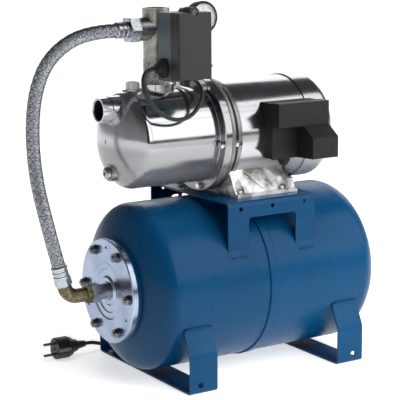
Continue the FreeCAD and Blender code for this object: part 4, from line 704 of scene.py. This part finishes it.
motor_route = [(-0.1770, -0.0670, 0.5000), (-0.1875, -0.0674, 0.5000), (-0.1980, -0.0690, 0.4942),
               (-0.2035, -0.0725, 0.4830), (-0.2030, -0.0775, 0.4670), (-0.1950, -0.0825, 0.4480),
               (-0.1780, -0.0860, 0.4305), (-0.1540, -0.0875, 0.4210), (-0.1290, -0.0870, 0.4240),
               (-0.1090, -0.0835, 0.4400), (-0.0970, -0.0750, 0.4585), (-0.0930, -0.0560, 0.4720),
               (-0.0910, -0.0280, 0.4765), (-0.0880, 0.0140, 0.4770), (-0.0810, 0.0580, 0.4700),
               (-0.0620, 0.0920, 0.4460), (-0.0300, 0.1110, 0.4080), (0.0140, 0.1180, 0.3660),
               (0.0540, 0.1130, 0.3320), (0.0840, 0.0900, 0.3070), (0.0990, 0.0520, 0.2935),
               (0.1040, 0.0140, 0.2896), (0.1000, -0.0160, 0.2905), (0.0910, -0.0400, 0.3000),
               (0.0815, -0.0570, 0.3100), (0.0740, -0.0700, 0.3165), (0.0645, -0.0805, 0.3205),
               (0.0550, -0.0870, 0.3228), (0.0494, -0.0894, 0.3250), (0.0463, -0.0899, 0.3294),
               (0.0460, -0.0900, 0.3344)]
lead = cord_curve("motor_cable", motor_route)
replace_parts(lead, "motor_lead")
round(path_length(spline_points(motor_route)), 3)

# The mains cord leaves the hidden gland, drops behind the pump to the floor, is wound in a coil
# there and ends at the plug beside the flange.
mains_down = [(-0.0897, -0.0670, 0.5000), (-0.0815, -0.0668, 0.4998), (-0.0735, -0.0615, 0.4985),
              (-0.0690, -0.0510, 0.4965), (-0.0680, -0.0360, 0.4935), (-0.0685, -0.0080, 0.4890),
              (-0.0690, 0.0280, 0.4845), (-0.0610, 0.0660, 0.4730), (-0.0440, 0.0980, 0.4490),
              (-0.0200, 0.1240, 0.4050), (-0.0020, 0.1420, 0.3520), (0.0060, 0.1550, 0.2950),
              (0.0050, 0.1640, 0.2350), (-0.0010, 0.1710, 0.1750), (-0.0090, 0.1770, 0.1180),
              (-0.0160, 0.1830, 0.0680), (-0.0235, 0.1920, 0.0320), (-0.0295, 0.2065, 0.0125)]
# The coil lies on the floor: its radius changes from turn to turn, and after a turn and a half the
# cord climbs onto itself.
coil_x = -0.070
coil_y = 0.232
coil_radii = (0.0345, 0.0413, 0.0345)
coil_turns = 2.72
climb_at = 1.45
steps = int(coil_turns * 12)
coil_route = []
for k in range(steps + 1):
    done = coil_turns * k / steps
    a = math.radians(-20.0) + 2 * math.pi * done
    r = coil_radii[int(done + 0.08)] + 0.0006 * math.sin(3.1 * a) + 0.00035 * math.sin(7.3 * a)
    level = 0.0037 + 0.0064 * min(1.0, max(0.0, (done - climb_at) / 0.25))
    coil_route.append((coil_x + r * math.cos(a), coil_y + r * math.sin(a), level))
mains_tail = [(-0.1250, 0.1810, 0.0040), (-0.1440, 0.1655, 0.0044), (-0.1610, 0.1530, 0.0090),
              (-0.1750, 0.1455, 0.0150), (-0.1875, 0.1430, 0.0186), (-0.1993, 0.1430, 0.0186)]
mains_route = mains_down + coil_route + mains_tail
mains = cord_curve("mains_cable", mains_route)
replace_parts(mains, "mains_lead", "mains_coil", "mains_tail")
round(path_length(spline_points(mains_route)), 3)

# Plug: black moulding with two metal pins and two side clips.
plug_black = Finish("plug_moulding", Specular_IOR_Level=0.35)
grain = plug_black.at.noise(2400.0, 2.0)
tint(plug_black, 30.0, 2.0, (0.010, 0.010, 0.011), (0.016, 0.016, 0.017))
plug_black.put("Roughness", grain.ramp(0.3, 0.7, 0.34, 0.48))
plug_black.bump(grain, 0.3, 0.00008)
paint("plug", plug_black)
paint("plug_metal", screw_steel)

# Braided hose: rubber tube under a woven steel wire braid. Sixteen bands of wire cross over and
# under each other; the route is the same as the plain solid's.
elbow_mouth = np.array((-0.3083, 0.0, 0.1662))
elbow_way = np.array((-0.2588, 0.0, 0.9659))
low = elbow_mouth + elbow_way * 0.0333
near = low + elbow_way * 0.070
hose_route = [(-0.209, 0, 0.555), (-0.252, 0, 0.555), (-0.2949, 0.014, 0.5357),
              (-0.3237, 0.029, 0.4967), (-0.3366, 0.038, 0.4315), (-0.3375, 0.033, 0.3437),
              tuple(near), tuple(low)]
hose_path = spline_points(hose_route, 40)
steps = np.concatenate([[0.0], np.cumsum(np.linalg.norm(np.diff(hose_path, axis=0), axis=1))])
hose_length = steps[-1]
wire = Finish("braid_wire", Metallic=1.0)
tint(wire, 90.0, 2.0, (0.25, 0.265, 0.29), (0.52, 0.54, 0.57))
wear(wire, 0.22, 0.34, 120.0)
liner = Finish("hose_rubber", Roughness=0.55)
tint(liner, 100.0, 2.0, (0.020, 0.022, 0.025), (0.035, 0.038, 0.042))
BANDS = 8
WIRES = 6
LEAD = 0.052
BRAID_R = 0.01035
WAVE = 0.00030
WIRE_HALF = 0.00047
fine = np.linspace(0, hose_length, 500)
centre = np.stack([np.interp(fine, steps, hose_path[:, k]) for k in range(3)], axis=1)
_, side_way, other_way = frames_along(centre)


def band(start, hand):
    """The wires of one braid band: a helix whose radius waves over and under the other hand's."""
    strips = []
    weave = np.cos(BANDS * 2 * math.pi * fine / LEAD + BANDS * start / 2)
    r = BRAID_R + WAVE * weave * hand
    for wire_no in range(WIRES):
        a = start + hand * 2 * math.pi * fine / LEAD + (wire_no - (WIRES - 1) / 2) * 0.102
        out = side_way * np.cos(a)[:, None] + other_way * np.sin(a)[:, None]
        along = side_way * -np.sin(a)[:, None] + other_way * np.cos(a)[:, None]
        middle = centre + out * r[:, None]
        strips.append(np.stack([middle - along * WIRE_HALF - out * 0.00022, middle + out * 0.00024,
                                middle + along * WIRE_HALF - out * 0.00022], axis=1))
    return strips


strips = [strip for k in range(BANDS) for hand in (-1, 1)
          for strip in band(2 * math.pi * k / BANDS, hand)]
braid = grids_piece("hose_braid", strips, wire, closed=False)
inner = grids_piece("hose_tube", [tube(centre[::3], 0.0098, 24)], liner)
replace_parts(braid, "hose")

# Studio: a pale floor that turns white far off, a large soft window of six panes to the front
# right, a soft light overhead and a pale surrounding. The lights themselves don't show in the
# steel: cards do, white ones in the panes, a black one behind them and a grey one at the back.
# The floor glows by its own emission, dimmer near the object and white far off: painted light, darker
# round the object as painted shade.
floor_mat = Finish("pale_floor", Roughness=0.7, Emission_Strength=1.0)
reach = (floor_mat.x * floor_mat.x + floor_mat.y * floor_mat.y).math("SQRT").ramp(0.4, 3.0)
floor_mat.put("Emission Color", reach.mix((0.60, 0.60, 0.60, 1), (1.0, 1.0, 1.0, 1)))
tint(floor_mat, 2.0, 2.0, (0.90, 0.90, 0.90), (0.92, 0.92, 0.92))
floor_mesh = bpy.data.meshes.new("floor")
floor_mesh.from_pydata([(-14, -14, 0), (14, -14, 0), (14, 14, 0), (-14, 14, 0)], [], [(0, 1, 2, 3)])
floor_mesh.materials.append(floor_mat.mat)
floor = bpy.data.objects.new("floor", floor_mesh)
bpy.context.collection.objects.link(floor)


def pane(name, middle, towards, wide, high, power):
    """Flat soft light at middle, facing a point."""
    light = bpy.data.lights.new(name, "AREA")
    light.shape = "RECTANGLE"
    light.size = wide
    light.size_y = high
    light.energy = power
    holder = bpy.data.objects.new(name, light)
    holder.location = middle
    way = Vector(towards) - Vector(middle)
    holder.rotation_euler = way.to_track_quat("-Z", "Y").to_euler()
    holder.visible_camera = False
    holder.visible_glossy = False
    bpy.context.collection.objects.link(holder)
    return holder


def card(name, corners, finish):
    """Flat studio card that only shows in reflections."""
    mesh = bpy.data.meshes.new(name)
    mesh.from_pydata([tuple(c) for c in corners], [], [(0, 1, 2, 3)])
    mesh.materials.append(finish.mat)
    piece = bpy.data.objects.new(name, mesh)
    piece.visible_camera = False
    piece.visible_shadow = False
    piece.visible_diffuse = False
    bpy.context.collection.objects.link(piece)
    return piece


def facing(middle, towards, wide, high):
    """Corners of a flat card at middle, facing a point."""
    way = (Vector(towards) - Vector(middle)).normalized()
    level = way.cross(Vector((0, 0, 1))).normalized()
    rise = level.cross(way)
    return [Vector(middle) + level * a * wide / 2 + rise * b * high / 2
            for a, b in ((-1, -1), (1, -1), (1, 1), (-1, 1))]


card_black = Finish("black_card", Roughness=0.9, Specular_IOR_Level=0.0)
tint(card_black, 1.0, 1.0, (0.010, 0.010, 0.011), (0.014, 0.014, 0.015))
front_way = Vector((0.56, -0.83, 0.0))
across = Vector((0.83, 0.56, 0.0))
card_white = Finish("white_card", Roughness=0.9, Specular_IOR_Level=0.0, Emission_Strength=1.35)
tint(card_white, 0.8, 1.0, (0.86, 0.86, 0.88), (1.0, 1.0, 1.0), "Emission Color")
pane_wide = 0.77
for column in (-1, 0, 1):
    for row, (z_mid, high) in enumerate(((0.95, 1.05), (2.0, 0.98))):
        spot = front_way * 1.45 + across * column * 0.82 + Vector((0, 0, z_mid))
        pane("pane_%d_%d" % (column, row), spot, spot - front_way, pane_wide, high, 12.0)
        card("white_%d_%d" % (column, row), facing(spot, spot - front_way, pane_wide, high),
             card_white)
frame_left = front_way * 1.50 - across * 2.1
frame_right = front_way * 1.50 + across * 1.45
frame_foot = Vector((0, 0, 0.25))
frame_head = Vector((0, 0, 2.65))
card("pane_frame", [frame_left + frame_foot, frame_right + frame_foot,
                    frame_right + frame_head, frame_left + frame_head], card_black)
pane("top_light", (-0.3, -0.2, 2.6), (0.0, 0.0, 0.3), 1.6, 1.2, 24.0)
card_grey = Finish("grey_card", Roughness=0.9, Specular_IOR_Level=0.0, Emission_Strength=1.0)
tint(card_grey, 2.0, 2.0, (0.55, 0.55, 0.57), (0.95, 0.95, 0.96), "Emission Color")
card("grey_back", facing((1.16, 1.41, 1.22), (0.0, 0.0, 0.38), 2.4, 1.2), card_grey)
world = bpy.data.worlds.new("surroundings")
world.use_nodes = True
bpy.context.scene.world = world
wash = world.node_tree.nodes["Background"]
sky = Val(world.node_tree, world.node_tree.nodes.new("ShaderNodeTexCoord").outputs["Generated"])
height = sky.parts()[2]
shade = height.ramp(0.05, 0.8).mix((0.95, 0.95, 0.96, 1), (0.20, 0.20, 0.21, 1))
world.node_tree.links.new(shade.socket, wash.inputs["Color"])
wash.inputs["Strength"].default_value = 0.34
